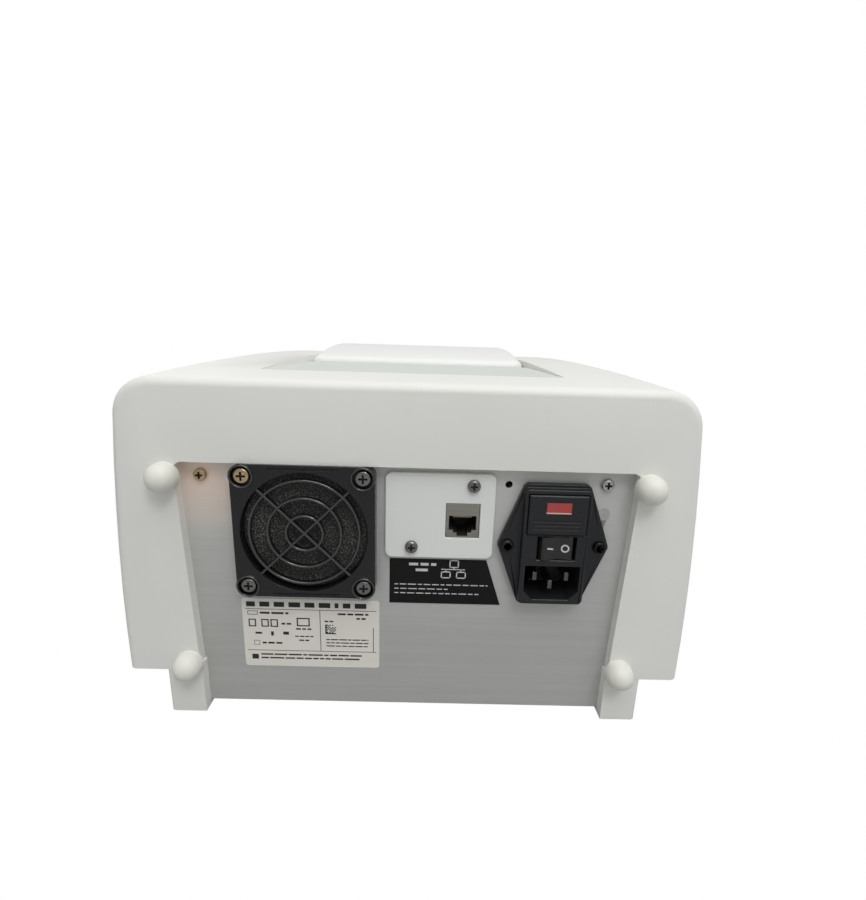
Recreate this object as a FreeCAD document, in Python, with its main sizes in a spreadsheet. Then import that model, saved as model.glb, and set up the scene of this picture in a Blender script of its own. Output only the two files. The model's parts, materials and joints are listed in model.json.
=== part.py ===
import FreeCAD
import Part
import math
import os
from types import SimpleNamespace

import Sketcher
from FreeCAD import Placement, Rotation, Vector

# Bench instrument for real-time PCR, seen from behind in the photograph.
# X is positive to the left of a viewer who stands behind it, Y is positive to the rear, Z is up.
# The origin is on the bench, under the middle of the whole instrument.

DRIVING_SIZES = {
    # Casing
    "overall_depth": 393.0,
    "overall_height": 165.0,
    "hood_width": 254.0,
    "hood_taper": 18.0,
    "lid_rise": 5.0,
    "crown_place": 80.0,
    "crown_radius": 2900.0,
    "side_radius": 1030.0,
    "skirt_height": 24.0,
    "hood_wall": 3.0,
    "rear_frame": 5.0,
    "front_lean": 16.0,
    "brow_radius": 45.0,
    "top_edge_radius": 17.0,
    "rear_edge_radius": 4.0,
    "rail_width": 16.5,
    "rail_front_gap": 14.0,
    "rail_rounding": 2.0,
    "overrun": 5.0,
    "fit_gap": 0.2,
    "turn_gap": 0.05,
    # Rear opening
    "opening_top_width": 194.0,
    "opening_taper": 8.0,
    "opening_height": 123.5,
    "opening_corner": 3.5,
    # Opening in the top, with its lip
    "bay_width": 140.0,
    "bay_rear": 155.0,
    "bay_front": 150.0,
    "lip_depth": 22.0,
    "scoop_width": 46.0,
    "scoop_radius": 20.0,
    "scoop_depth": 6.5,
    "scoop_block": 26.0,
    # Sunken deck behind the lid
    "deck_front": 67.0,
    "deck_drop": 2.4,
    "deck_thickness": 2.5,
    # Lid
    "lid_rear": 61.0,
    "lid_front_gap": 1.5,
    "lid_side_gap": 1.0,
    "lid_seat_gap": 2.0,
    "lid_crown_place": 20.0,
    "lid_radius": 590.0,
    "lid_wall": 2.5,
    "lid_corner_radius": 7.0,
    "lid_edge_radius": 5.0,
    "lid_heel_length": 5.0,
    "lid_heel_rise": 3.8,
    "liner_thickness": 2.0,
    "liner_rear": 40.0,
    "hinge_place": 52.0,
    "hinge_rise": 10.0,
    "hinge_pin_radius": 2.0,
    "hinge_eye_radius": 5.0,
    "hinge_pin_length": 112.0,
    "knuckle_inner": 40.0,
    "knuckle_width": 8.0,
    "bracket_width": 5.0,
    "magnet_radius": 5.0,
    # Pouch bay under the lid
    "bay_flange": 2.5,
    "bay_overlap": 8.0,
    "well_width": 124.0,
    "well_rear": 36.0,
    "well_front": 138.0,
    "well_depth": 22.0,
    "well_wall": 2.5,
    "well_corner": 8.0,
    "pouch_width": 92.0,
    "pouch_length": 118.0,
    "pouch_recess": 1.5,
    "window_width": 52.0,
    "window_length": 40.0,
    "window_corner": 3.0,
    "guide_width": 6.0,
    "guide_height": 3.0,
    # Feet and rear bumpers
    "pad_radius": 7.0,
    "pad_height": 1.5,
    "pad_inset": 22.5,
    "bumper_radius": 6.2,
    "bumper_reach": 9.0,
    "bumper_collar": 3.0,
    "bumper_drop": 6.2,
    "bumper_upper_gap": 3.4,
    "bumper_lower": 28.0,
    "bumper_lower_gap": 5.2,
    # Rear panel and base pan
    "panel_thickness": 1.2,
    "panel_bottom": 4.0,
    "panel_lap": 6.5,
    "pan_thickness": 1.2,
    "pan_flange": 14.0,
    "pan_front": 186.0,
    "pan_slot_width": 4.0,
    "pan_slot_length": 23.0,
    "pan_slot_pitch": 9.0,
    "pan_slot_count": 9.0,
    "pan_slot_corner": 1.9,
    "panel_screw_drop": 6.7,
    "panel_screw_left_gap": 9.0,
    "panel_screw_right_gap": 12.3,
    "panel_hole_radius": 1.6,
    "panel_hole_side": 29.1,
    "panel_hole_rise": 14.6,
    "stud_radius": 2.8,
    "stud_proud": 0.3,
    "stud_drop": 13.4,
    "small_head_radius": 2.8,
    "small_shank_radius": 1.5,
    "small_shank_length": 6.0,
    "head_thickness": 1.8,
    "screw_clearance": 0.1,
    "cross_width": 0.9,
    "cross_depth": 1.0,
    # Fan and its guard
    "fan_margin_share": 0.71,
    "fan_width": 60.0,
    "fan_depth": 25.0,
    "fan_bore_radius": 28.5,
    "fan_hub_radius": 13.0,
    "fan_tip_gap": 1.0,
    "fan_blade_thickness": 1.4,
    "fan_blade_angle": 38.0,
    "fan_blade_count": 7.0,
    "fan_boss_depth": 3.0,
    "fan_strut_width": 3.0,
    "fan_shaft_radius": 1.5,
    "fan_pitch": 50.0,
    "fan_screw_radius": 1.9,
    "fan_screw_length": 16.0,
    "fan_head_radius": 3.5,
    "guard_width": 60.0,
    "guard_depth": 6.5,
    "guard_corner": 5.0,
    "guard_bore_radius": 27.0,
    "guard_bar_depth": 2.2,
    "guard_bar_width": 1.2,
    "guard_ring_pitch": 7.8,
    "guard_ring_count": 3.0,
    "guard_bar_setback": 0.5,
    "guard_rim_width": 1.0,
    "guard_rim_depth": 0.5,
    "guard_lid_width": 57.4,
    "guard_groove": 0.7,
    "guard_seat_radius": 4.2,
    "guard_seat_depth": 1.6,
    "panel_fan_radius": 26.0,
    "filter_thickness": 2.0,
    # Network port
    "plate_gap": 3.9,
    "plate_drop": 2.9,
    "plate_width": 46.8,
    "plate_height": 38.8,
    "plate_thickness": 2.0,
    "plate_corner": 3.0,
    "plate_screw_side": 13.0,
    "plate_screw_shift": -1.0,
    "plate_screw_z": 14.2,
    "jack_side": 9.9,
    "jack_fall": 1.9,
    "jack_width": 14.3,
    "jack_height": 15.6,
    "jack_depth": 20.0,
    "jack_recess": 0.8,
    "plug_width": 11.8,
    "plug_height": 6.4,
    "plug_depth": 13.0,
    "plug_key_width": 8.0,
    "plug_key_height": 1.3,
    "plug_latch_width": 4.6,
    "plug_latch_height": 1.5,
    "plug_rise": 2.1,
    "contact_setback": 2.0,
    "contact_pitch": 1.02,
    "contact_width": 0.45,
    "contact_count": 8.0,
    "contact_rise": 1.4,
    # Mains inlet module
    "inlet_gap": 2.0,
    "inlet_drop": 6.1,
    "inlet_half_width": 24.2,
    "inlet_half_height": 28.2,
    "inlet_flat_width": 27.4,
    "inlet_corner": 3.0,
    "inlet_flange": 3.0,
    "inlet_block_width": 28.4,
    "inlet_block_height": 53.0,
    "inlet_block_proud": 3.0,
    "inlet_body_depth": 30.0,
    "ear_pitch": 40.0,
    "drawer_width": 25.0,
    "drawer_height": 17.8,
    "drawer_rise": 15.5,
    "drawer_depth": 24.0,
    "drawer_proud": 3.8,
    "drawer_play": 0.15,
    "drawer_groove": 0.4,
    "drawer_groove_width": 0.7,
    "drawer_groove_pitch": 1.7,
    "drawer_groove_count": 3.0,
    "drawer_groove_rise": -2.6,
    "drawer_margin": 5.0,
    "drawer_rounding": 1.0,
    "window_pane_width": 10.4,
    "window_pane_height": 4.8,
    "window_pane_rise": 3.4,
    "window_pane_depth": 1.0,
    "window_pane_proud": 0.2,
    "fuse_radius": 2.5,
    "fuse_length": 19.0,
    "fuse_pitch": 11.0,
    "fuse_rise": -1.0,
    "rocker_rise": 0.2,
    "rocker_side": -0.8,
    "rocker_width": 16.0,
    "rocker_height": 10.6,
    "rocker_play": 0.35,
    "rocker_depth": 4.5,
    "rocker_valley": 0.9,
    "rocker_crest": 0.6,
    "rocker_skirt": 3.0,
    "rocker_tilt": 6.0,
    "rocker_pivot_radius": 1.1,
    "rocker_pivot_length": 0.7,
    "socket_width": 23.8,
    "socket_height": 16.0,
    "socket_rise": -16.3,
    "socket_depth": 17.0,
    "socket_chamfer": 4.0,
    "blade_pitch": 14.0,
    "blade_rise": 2.0,
    "blade_height": 4.0,
    "blade_thickness": 2.0,
    "blade_length": 14.5,
    # Labels
    "label_thickness": 0.2,
    "white_label_gap": 4.75,
    "white_label_width": 62.5,
    "white_label_height": 35.5,
    "label_corner": 1.5,
    "black_label_side": 21.5,
    "black_label_top_width": 42.9,
    "black_label_foot_width": 50.2,
    "black_label_gap": 1.6,
    "black_label_height": 22.0,
    # Inner frame and what it carries
    "frame_width": 150.0,
    "frame_rear": 62.0,
    "frame_front": 156.0,
    "frame_sheet": 1.5,
    "frame_hole_radius": 24.0,
    "frame_hole_pitch": 70.0,
    "heater_width": 30.0,
    "heater_length": 26.0,
    "heater_height": 9.0,
    "heater_x": 42.0,
    "heater_y": -100.0,
    "fin_count": 7.0,
    "fin_thickness": 1.2,
    "fin_height": 14.0,
    "optics_width": 70.0,
    "optics_length": 60.0,
    "optics_height": 62.0,
    "optics_y": -30.0,
    "lens_radius": 14.0,
    "lens_tube": 24.0,
    "lens_glass": 3.0,
    "manifold_width": 90.0,
    "manifold_length": 34.0,
    "manifold_height": 50.0,
    "manifold_y": -125.0,
    "valve_radius": 4.0,
    "valve_height": 12.0,
    "valve_count": 5.0,
    "valve_pitch": 16.0,
    "motor_radius": 14.0,
    "motor_length": 34.0,
    "motor_shaft_radius": 2.0,
    "beater_radius": 9.0,
    "beater_thickness": 5.0,
    "beater_pin_radius": 2.0,
    "beater_pin_height": 8.0,
    "motor_side_gap": 4.0,
    "motor_shaft_length": 14.0,
    "motor_shaft_end": 2.0,
    "motor_y": -60.0,
    "supply_width": 100.0,
    "supply_length": 78.0,
    "supply_height": 38.0,
    "supply_x": -20.0,
    "supply_y": 108.0,
    "board_width": 160.0,
    "board_length": 84.0,
    "board_thickness": 1.6,
    "board_y": 108.0,
    "board_height": 54.0,
    "standoff_radius": 3.0,
    "standoff_inset": 4.0,
    "pump_radius": 16.0,
    "pump_length": 44.0,
    "pump_x": 52.0,
    "pump_y": 88.0,
    # Front
    "light_height": 112.0,
    "light_radius": 5.0,
    "light_depth": 5.0,
    "light_proud": 0.8,
}


class Size:
    """A size that keeps its formula, so that what is built from it follows the sheet."""

    def __init__(self, value, formula):
        self.value = value
        self.formula = formula

    def merge(self, other, sign, value):
        return Size(value, f"({self.formula} {sign} {other.formula})")

    def __add__(self, other):
        other = as_size(other)
        return self.merge(other, "+", self.value + other.value)

    def __sub__(self, other):
        other = as_size(other)
        return self.merge(other, "-", self.value - other.value)

    def __mul__(self, other):
        other = as_size(other)
        return self.merge(other, "*", self.value * other.value)

    def __truediv__(self, other):
        other = as_size(other)
        return self.merge(other, "/", self.value / other.value)

    def __radd__(self, other):
        return as_size(other) + self

    def __rsub__(self, other):
        return as_size(other) - self

    def __rmul__(self, other):
        return as_size(other) * self

    def __rtruediv__(self, other):
        return as_size(other) / self

    def __neg__(self):
        return Size(-self.value, f"(0 - {self.formula})")


def as_size(item):
    if isinstance(item, Size):
        return item
    return Size(float(item), f"({float(item)!r})")


def square_root(size):
    return Size(math.sqrt(size.value), f"sqrt({size.formula})")


doc = FreeCAD.newDocument("pcr_instrument")
sheet = doc.addObject("Spreadsheet::Sheet", "sizes")
for row, (alias, number) in enumerate(DRIVING_SIZES.items(), start=1):
    sheet.set(f"A{row}", alias)
    sheet.set(f"B{row}", str(number))
    sheet.setAlias(f"B{row}", alias)
doc.recompute()
d = SimpleNamespace(**{name: Size(value, "sizes." + name) for name, value in DRIVING_SIZES.items()})

nodes = []


def finish_node(made, label):
    """Names a finished sub-part and puts it on the list of what is written out."""
    made.Label = label
    nodes.append(made)
    return made


def bind(thing, setting, size):
    thing.setExpression(setting, as_size(size).formula)


def place(thing, x, y, z):
    for axis, size in zip("xyz", (x, y, z)):
        bind(thing, "Placement.Base." + axis, size)


def box(x, y, z):
    """A block between a low and a high value along each axis."""
    made = doc.addObject("Part::Box", "block")
    for side, (low, high) in zip(("Length", "Width", "Height"), (x, y, z)):
        bind(made, side, as_size(high) - low)
    place(made, x[0], y[0], z[0])
    return made


def rod(axis, start, centre, radius, length):
    """A cylinder along an axis. Its centre is given on the other two axes, in X, Y, Z order."""
    made = doc.addObject("Part::Cylinder", "rod")
    direction = {"x": Vector(1, 0, 0), "y": Vector(0, 1, 0), "z": Vector(0, 0, 1)}[axis]
    made.Placement = Placement(Vector(), Rotation(Vector(0, 0, 1), direction))
    bind(made, "Radius", radius)
    bind(made, "Height", length)
    corner = list(centre)
    corner.insert("xyz".index(axis), start)
    place(made, *corner)
    return made


def cut(base, *tools):
    for tool in tools:
        made = doc.addObject("Part::Cut", "cut")
        made.Base = base
        made.Tool = tool
        base = made
    return base


def fuse(*shapes):
    made = doc.addObject("Part::MultiFuse", "joined")
    made.Shapes = list(shapes)
    return made


class Piece:
    """A body that grows by pads and pockets, each between two heights on one axis."""

    planes = {"x": "YZ_Plane", "y": "XZ_Plane", "z": "XY_Plane"}

    def __init__(self, label):
        self.body = doc.addObject("PartDesign::Body", label)
        self.body.AllowCompound = True

    def sketch(self, axis, start, outlines):
        made = self.body.newObject("Sketcher::SketchObject", "outline")
        role = self.planes[axis]
        plane = [item for item in self.body.Origin.OriginFeatures if item.Role == role][0]
        made.AttachmentSupport = [(plane, "")]
        made.MapMode = "FlatFace"
        bind(made, "AttachmentOffset.Base.z", -as_size(start) if axis == "y" else start)
        for outline in outlines:
            outline(made)
        return made

    def add(self, axis, start, end, *outlines):
        made = self.body.newObject("PartDesign::Pad", "pad")
        made.Profile = self.sketch(axis, start, outlines)
        made.Reversed = axis == "y"
        bind(made, "Length", as_size(end) - start)
        return self

    def cut(self, axis, start, end, *outlines):
        made = self.body.newObject("PartDesign::Pocket", "pocket")
        made.Profile = self.sketch(axis, start, outlines)
        made.Reversed = axis != "y"
        bind(made, "Length", as_size(end) - start)
        return self

    def spin(self, *outlines):
        """A turned form about the Y axis, from an outline of X and Y."""
        made = self.body.newObject("PartDesign::Revolution", "turned")
        profile = self.sketch("z", 0, outlines)
        made.Profile = profile
        made.ReferenceAxis = (profile, ["V_Axis"])
        return self

    def soften(self, radius, chosen):
        """Rounds the edges for which the test holds."""
        doc.recompute()
        names = [f"Edge{i}" for i, edge in enumerate(self.body.Shape.Edges, start=1) if chosen(edge)]
        base = self.body.Tip
        made = self.body.newObject("PartDesign::Fillet", "rounding")
        made.Base = (base, names)
        bind(made, "Radius", radius)
        return self

    def done(self):
        nodes.append(self.body)
        return self.body


def outline_of(*corners):
    """A closed outline, counter-clockwise. A third value on a corner bends the side that follows it."""

    def draw(sketch):
        values = [[as_size(item) for item in corner] for corner in corners]
        sides = []
        for here, after in zip(values, values[1:] + values[:1]):
            start = Vector(here[0].value, here[1].value)
            end = Vector(after[0].value, after[1].value)
            if len(here) == 2:
                sides.append((Part.LineSegment(start, end), None))
                continue
            radius = here[2].value
            chord = end - start
            inward = Vector(-chord.y, chord.x).normalize() * math.copysign(1, radius)
            depth = math.sqrt(radius ** 2 - (chord.Length / 2) ** 2)
            centre = (start + end) / 2 + inward * depth
            sides.append((Part.Arc(start, centre - inward * abs(radius), end), here[2]))
        first = sketch.GeometryCount
        sketch.addGeometry([side for side, _ in sides], False)
        ends = [(2, 1) if bend and bend.value < 0 else (1, 2) for _, bend in sides]
        rules = []
        sizes = []
        for index, (side, bend) in enumerate(sides):
            here = first + index
            after = (index + 1) % len(sides)
            joint = (here, ends[index][1], first + after, ends[after][0])
            rules.append(Sketcher.Constraint("Coincident", *joint))
            sizes.append(None)
            for kind, size in zip(("DistanceX", "DistanceY"), values[index][:2]):
                rules.append(Sketcher.Constraint(kind, -1, 1, here, ends[index][0], size.value))
                sizes.append(size)
            if bend:
                rules.append(Sketcher.Constraint("Radius", here, abs(bend.value)))
                sizes.append(bend if bend.value > 0 else -bend)
        add_rules(sketch, rules, sizes)

    return draw


def circle_at(across, along, radius):
    def draw(sketch):
        values = [as_size(item) for item in (across, along, radius)]
        index = sketch.GeometryCount
        centre = Vector(values[0].value, values[1].value)
        sketch.addGeometry(Part.Circle(centre, Vector(0, 0, 1), values[2].value), False)
        rules = [
            Sketcher.Constraint("DistanceX", -1, 1, index, 3, values[0].value),
            Sketcher.Constraint("DistanceY", -1, 1, index, 3, values[1].value),
            Sketcher.Constraint("Radius", index, values[2].value),
        ]
        add_rules(sketch, rules, values)

    return draw


def add_rules(sketch, rules, sizes):
    first = sketch.ConstraintCount
    sketch.addConstraint(rules)
    for index, size in enumerate(sizes, start=first):
        if size is not None:
            sketch.setExpression(f"Constraints[{index}]", size.formula)


def rectangle(across, along, width, height, corner=None):
    """A rectangle about a centre, with rounded corners where a radius is given."""
    across, along = as_size(across), as_size(along)
    right, top = as_size(width) / 2, as_size(height) / 2
    if corner is None:
        return outline_of(
            (across - right, along - top),
            (across + right, along - top),
            (across + right, along + top),
            (across - right, along + top),
        )
    return outline_of(
        (across - right + corner, along - top),
        (across + right - corner, along - top, corner),
        (across + right, along - top + corner),
        (across + right, along + top - corner, corner),
        (across + right - corner, along + top),
        (across - right + corner, along + top, corner),
        (across - right, along + top - corner),
        (across - right, along - top + corner, corner),
    )


# Places that several pieces share
rear_face = d.overall_depth / 2 - d.bumper_reach
front_face = -d.overall_depth / 2
panel_face = rear_face - d.rear_frame
panel_back = panel_face - d.panel_thickness
pan_top = d.panel_bottom + d.pan_thickness
hood_crown = d.overall_height - d.lid_rise
lip_bottom = hood_crown - d.lip_depth
lid_floor = lip_bottom + d.lid_seat_gap
hinge_height = lid_floor + d.hinge_rise
flare = d.hood_taper / 2 / (hood_crown - d.skirt_height)
opening_foot_width = d.opening_top_width - d.opening_taper
lid_half = d.bay_width / 2 - d.lid_side_gap
lid_front = -d.bay_front + d.lid_front_gap
flange_bottom = lip_bottom - d.bay_flange
well_floor = lip_bottom - d.well_depth
well_bottom = well_floor - d.well_wall

# The rear services stand side by side, and share what room the opening leaves them
services_width = d.guard_width + d.plate_gap + d.plate_width + d.inlet_gap + 2 * d.inlet_half_width
spare_width = d.opening_top_width - services_width
fan_x = d.opening_top_width / 2 - d.fan_margin_share * spare_width - d.guard_width / 2
fan_z = d.opening_height - d.guard_width / 2
plate_x = fan_x - d.guard_width / 2 - d.plate_gap - d.plate_width / 2
plate_z = d.opening_height - d.plate_drop - d.plate_height / 2
jack_x = plate_x - d.jack_side
jack_z = plate_z - d.jack_fall
inlet_x = plate_x - d.plate_width / 2 - d.inlet_gap - d.inlet_half_width
inlet_z = d.opening_height - d.inlet_drop - d.inlet_half_height
rocker_x = inlet_x + d.rocker_side


def hood_half_width(height):
    return d.hood_width / 2 - (height - d.skirt_height) * flare


def hood_top(place_on_y, inset=0):
    """Height of the gently crowned top of the hood at a place along its length."""
    radius = d.crown_radius - inset
    offset = place_on_y - d.crown_place
    return hood_crown - d.crown_radius + square_root(radius * radius - offset * offset)


def lid_top(place_on_y, inset=0):
    radius = d.lid_radius - inset
    offset = place_on_y + d.lid_crown_place
    return d.overall_height - d.lid_radius + square_root(radius * radius - offset * offset)


def is_across(edge):
    """True for a straight edge that runs from side to side."""
    box_of_edge = edge.BoundBox
    return box_of_edge.YLength < 0.01 and box_of_edge.ZLength < 0.01


def is_upright(edge):
    box_of_edge = edge.BoundBox
    return box_of_edge.XLength < 0.01 and box_of_edge.YLength < 0.01


def is_lengthwise(edge):
    box_of_edge = edge.BoundBox
    return box_of_edge.XLength < 0.01 and box_of_edge.ZLength < 0.01


def hood_form(label, side_inset, rear_inset, floor):
    """The outer form of the hood, or its hollow when the insets are set."""
    front = front_face + side_inset
    rear = rear_face - rear_inset
    front_top = front + d.front_lean
    piece = Piece(label)
    piece.add(
        "y", front, rear,
        outline_of(
            (-hood_half_width(floor) + side_inset, floor),
            (hood_half_width(floor) - side_inset, floor, d.side_radius - side_inset),
            (hood_half_width(hood_crown) - side_inset, hood_crown),
            (-hood_half_width(hood_crown) + side_inset, hood_crown, d.side_radius - side_inset),
        ),
    )
    piece.cut(
        "x", -d.hood_width / 2 - d.overrun, d.hood_width / 2 + d.overrun,
        outline_of(
            (front_face - d.overrun, floor - d.overrun),
            (rear_face + d.overrun, floor - d.overrun),
            (rear_face + d.overrun, hood_crown + d.overrun),
            (front_face - d.overrun, hood_crown + d.overrun),
        ),
        outline_of(
            (front, floor),
            (rear, floor),
            (rear, hood_top(rear, side_inset), d.crown_radius - side_inset),
            (front_top, hood_top(front_top, side_inset)),
        ),
    )
    top = d.skirt_height.value + (hood_crown.value - d.skirt_height.value) / 2
    piece.soften(
        d.brow_radius - side_inset,
        lambda edge: is_across(edge) and edge.CenterOfMass.z > top and edge.CenterOfMass.y < 0,
    )
    piece.soften(
        d.top_edge_radius - side_inset,
        lambda edge: abs(edge.CenterOfMass.x) > d.hood_width.value / 3
        and abs(edge.CenterOfMass.y - rear.value) > 0.1
        and edge.BoundBox.ZMax > as_size(floor).value + 0.1,
    )
    return piece


def make_hood():
    outer = hood_form("hood_outside", 0, 0, d.skirt_height)
    outer.soften(
        d.rear_edge_radius,
        lambda edge: abs(edge.CenterOfMass.y - rear_face.value) < 0.1
        and edge.BoundBox.ZMax > d.skirt_height.value + 0.1,
    )
    hollow = hood_form("hood_hollow", d.hood_wall, d.rear_frame, d.skirt_height + d.hood_wall)
    half_bay = d.bay_width / 2
    lip = box(
        (-half_bay - d.hood_wall, half_bay + d.hood_wall),
        (-d.bay_front - d.hood_wall, d.bay_rear + d.hood_wall),
        (lip_bottom, d.overall_height),
    )
    scoop_half = d.scoop_width / 2 + d.hood_wall
    scoop_block = box(
        (-scoop_half, scoop_half),
        (-d.bay_front - d.scoop_block, -d.bay_front),
        (lip_bottom, d.overall_height),
    )
    top_opening = box(
        (-half_bay, half_bay), (-d.bay_front, d.bay_rear), (lip_bottom - d.overrun, d.overall_height + d.overrun))
    scoop_top = hood_top(-d.bay_front)
    scoop = rod(
        "x", -d.scoop_width / 2,
        (-d.bay_front, scoop_top - d.scoop_depth + d.scoop_radius),
        d.scoop_radius, d.scoop_width,
    )
    foot_half = opening_foot_width / 2
    rear_opening = Piece("rear_opening").add(
        "y", panel_face - d.overrun, rear_face + d.overrun,
        outline_of(
            (-foot_half, -d.overrun),
            (foot_half, -d.overrun),
            (foot_half, d.panel_bottom),
            (d.opening_top_width / 2, d.opening_height),
            (-d.opening_top_width / 2, d.opening_height),
            (-foot_half, d.panel_bottom),
        ),
    )
    rear_opening.soften(
        d.opening_corner,
        lambda edge: is_lengthwise(edge) and edge.CenterOfMass.z > d.opening_height.value - 1,
    )
    belly_opening = box(
        (-foot_half, foot_half),
        (front_face + d.rail_front_gap, panel_face),
        (d.skirt_height - 1, d.skirt_height + d.hood_wall + 1),
    )
    shell = cut(
        outer.body, cut(hollow.body, lip, scoop_block), top_opening, scoop, rear_opening.body,
        belly_opening, light_hole(),
    )
    rails = []
    for side in (1, -1):
        rail = Piece("foot_rail").add(
            "z", d.pad_height, d.skirt_height + d.hood_wall,
            rectangle(
                side * (foot_half + d.rail_width / 2),
                (front_face + d.rail_front_gap + rear_face) / 2,
                d.rail_width,
                rear_face - front_face - d.rail_front_gap,
            ),
        )
        rail.soften(
            d.rail_rounding,
            lambda edge: is_upright(edge) and side * edge.CenterOfMass.x > foot_half.value + 1,
        )
        rails.append(rail.body)
    return finish_node(fuse(shell, *rails), "hood")


def light_place():
    """The status light stands square to the leaning front face."""
    tilt = math.degrees(math.atan2(
        d.front_lean.value, hood_top(front_face + d.front_lean).value - d.skirt_height.value))
    slope = d.front_lean / (hood_top(front_face + d.front_lean) - d.skirt_height)
    return tilt, front_face + (d.light_height - d.skirt_height) * slope


def light_rod(radius, inner, length):
    tilt, y = light_place()
    made = doc.addObject("Part::Cylinder", "light_rod")
    made.Placement = Placement(Vector(), Rotation(Vector(1, 0, 0), 90 - tilt))
    bind(made, "Radius", radius)
    bind(made, "Height", length)
    place(made, 0, y + inner, d.light_height)
    return made


def light_hole():
    return light_rod(d.light_radius, d.light_depth, d.light_depth * 2)


def make_status_light():
    return finish_node(
        light_rod(d.light_radius, d.light_depth, d.light_depth + d.light_proud), "status_light")


def make_hinge_deck():
    """The sunken strip behind the lid: it slopes down to the hinge and turns under there."""
    top_rear = hood_top(d.bay_rear)
    top_front = top_rear - d.deck_drop
    half_bay = d.bay_width / 2
    deck = Piece("hinge_deck").add(
        "x", -half_bay, half_bay,
        outline_of(
            (d.deck_front, lip_bottom),
            (d.deck_front + d.deck_thickness, lip_bottom),
            (d.deck_front + d.deck_thickness, top_front - d.deck_thickness),
            (d.bay_rear, top_rear - d.deck_thickness),
            (d.bay_rear, top_rear),
            (d.deck_front, top_front),
        ),
    )
    return deck.done()


def lid_form(label, inset):
    front = lid_front + inset
    rear = d.lid_rear - inset
    half = lid_half - inset
    piece = Piece(label)
    piece.add(
        "x", -half, half,
        outline_of(
            (front, lid_floor),
            (rear, lid_floor),
            (rear, lid_top(rear, inset), d.lid_radius - inset),
            (front, lid_top(front, inset)),
        ),
    )
    piece.soften(d.lid_corner_radius - inset, is_upright)
    piece.soften(
        d.lid_edge_radius - inset,
        lambda edge: edge.BoundBox.ZMin > lid_floor.value + 1,
    )
    return piece.body


def make_lid_shell():
    rear_inside = d.lid_rear - d.lid_wall
    hinge = (d.hinge_place, hinge_height)
    shell = cut(lid_form("lid_outside", 0), lid_form("lid_hollow", d.lid_wall))
    slots = []
    knuckles = []
    bores = []
    for side in (1, -1):
        inner = d.knuckle_inner if side > 0 else -d.knuckle_inner - d.knuckle_width
        knuckles.append(rod("x", inner, hinge, d.hinge_eye_radius, d.knuckle_width))
        knuckles.append(box(
            (inner, inner + d.knuckle_width),
            (d.hinge_place - d.hinge_eye_radius, rear_inside),
            (hinge_height, lid_top(d.hinge_place, d.lid_wall)),
        ))
        bores.append(rod(
            "x", inner - 1, hinge, d.hinge_pin_radius + d.turn_gap, d.knuckle_width + 2))
        bracket_inner = d.knuckle_inner + d.knuckle_width
        slot_low = bracket_inner if side > 0 else -bracket_inner - d.bracket_width - 2 * d.lid_side_gap
        slots.append(box(
            (slot_low, slot_low + d.bracket_width + 2 * d.lid_side_gap),
            (rear_inside - 1, d.lid_rear + 1),
            (lid_floor - 1, hinge_height + d.hinge_eye_radius + d.lid_side_gap),
        ))
    heel = box(
        (-lid_half - 1, lid_half + 1),
        (d.lid_rear - d.lid_heel_length, d.lid_rear + 1),
        (lid_floor - 1, lid_floor + d.lid_heel_rise),
    )
    return finish_node(cut(fuse(shell, *knuckles), *slots, *bores, heel), "lid_shell")


def make_lid_liner():
    half = lid_half - d.lid_wall
    low = lid_front + d.lid_wall
    liner = Piece("lid_liner").add(
        "z", lid_floor, lid_floor + d.liner_thickness,
        rectangle(0, (low + d.liner_rear) / 2, 2 * half, d.liner_rear - low,
                  d.lid_corner_radius - d.lid_wall),
    )
    liner.cut(
        "z", lid_floor, lid_floor + d.liner_thickness,
        *[circle_at(x, y, d.magnet_radius) for x, y in magnet_places()],
    )
    return liner.done()


def magnet_places():
    x = (d.bay_width + d.well_width) / 4 - d.lid_side_gap
    return [(x - d.magnet_radius, lid_front + d.magnet_radius * 2), (
        -x + d.magnet_radius, lid_front + d.magnet_radius * 2)]


def make_lid_magnets():
    magnets = Piece("lid_magnets").add(
        "z", lip_bottom + d.fit_gap, lid_floor + d.liner_thickness,
        *[circle_at(x, y, d.magnet_radius) for x, y in magnet_places()],
    )
    return magnets.done()


def make_hinge():
    pin = rod(
        "x", -d.hinge_pin_length / 2, (d.hinge_place, hinge_height),
        d.hinge_pin_radius, d.hinge_pin_length)
    finish_node(pin, "hinge_pin")
    for side, label in ((1, "hinge_bracket_left"), (-1, "hinge_bracket_right")):
        inner = d.knuckle_inner + d.knuckle_width + d.lid_side_gap
        low = inner if side > 0 else -inner - d.bracket_width
        bracket = Piece(label).add(
            "x", low, low + d.bracket_width,
            outline_of(
                (d.hinge_place - d.hinge_eye_radius, lip_bottom),
                (d.hinge_place + d.hinge_eye_radius, lip_bottom),
                (d.hinge_place + d.hinge_eye_radius, hinge_height, d.hinge_eye_radius),
                (d.hinge_place, hinge_height + d.hinge_eye_radius, d.hinge_eye_radius),
                (d.hinge_place - d.hinge_eye_radius, hinge_height),
            ),
        )
        bracket.cut(
            "x", low, low + d.bracket_width,
            circle_at(d.hinge_place, hinge_height, d.hinge_pin_radius),
        )
        bracket.done()


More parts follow.
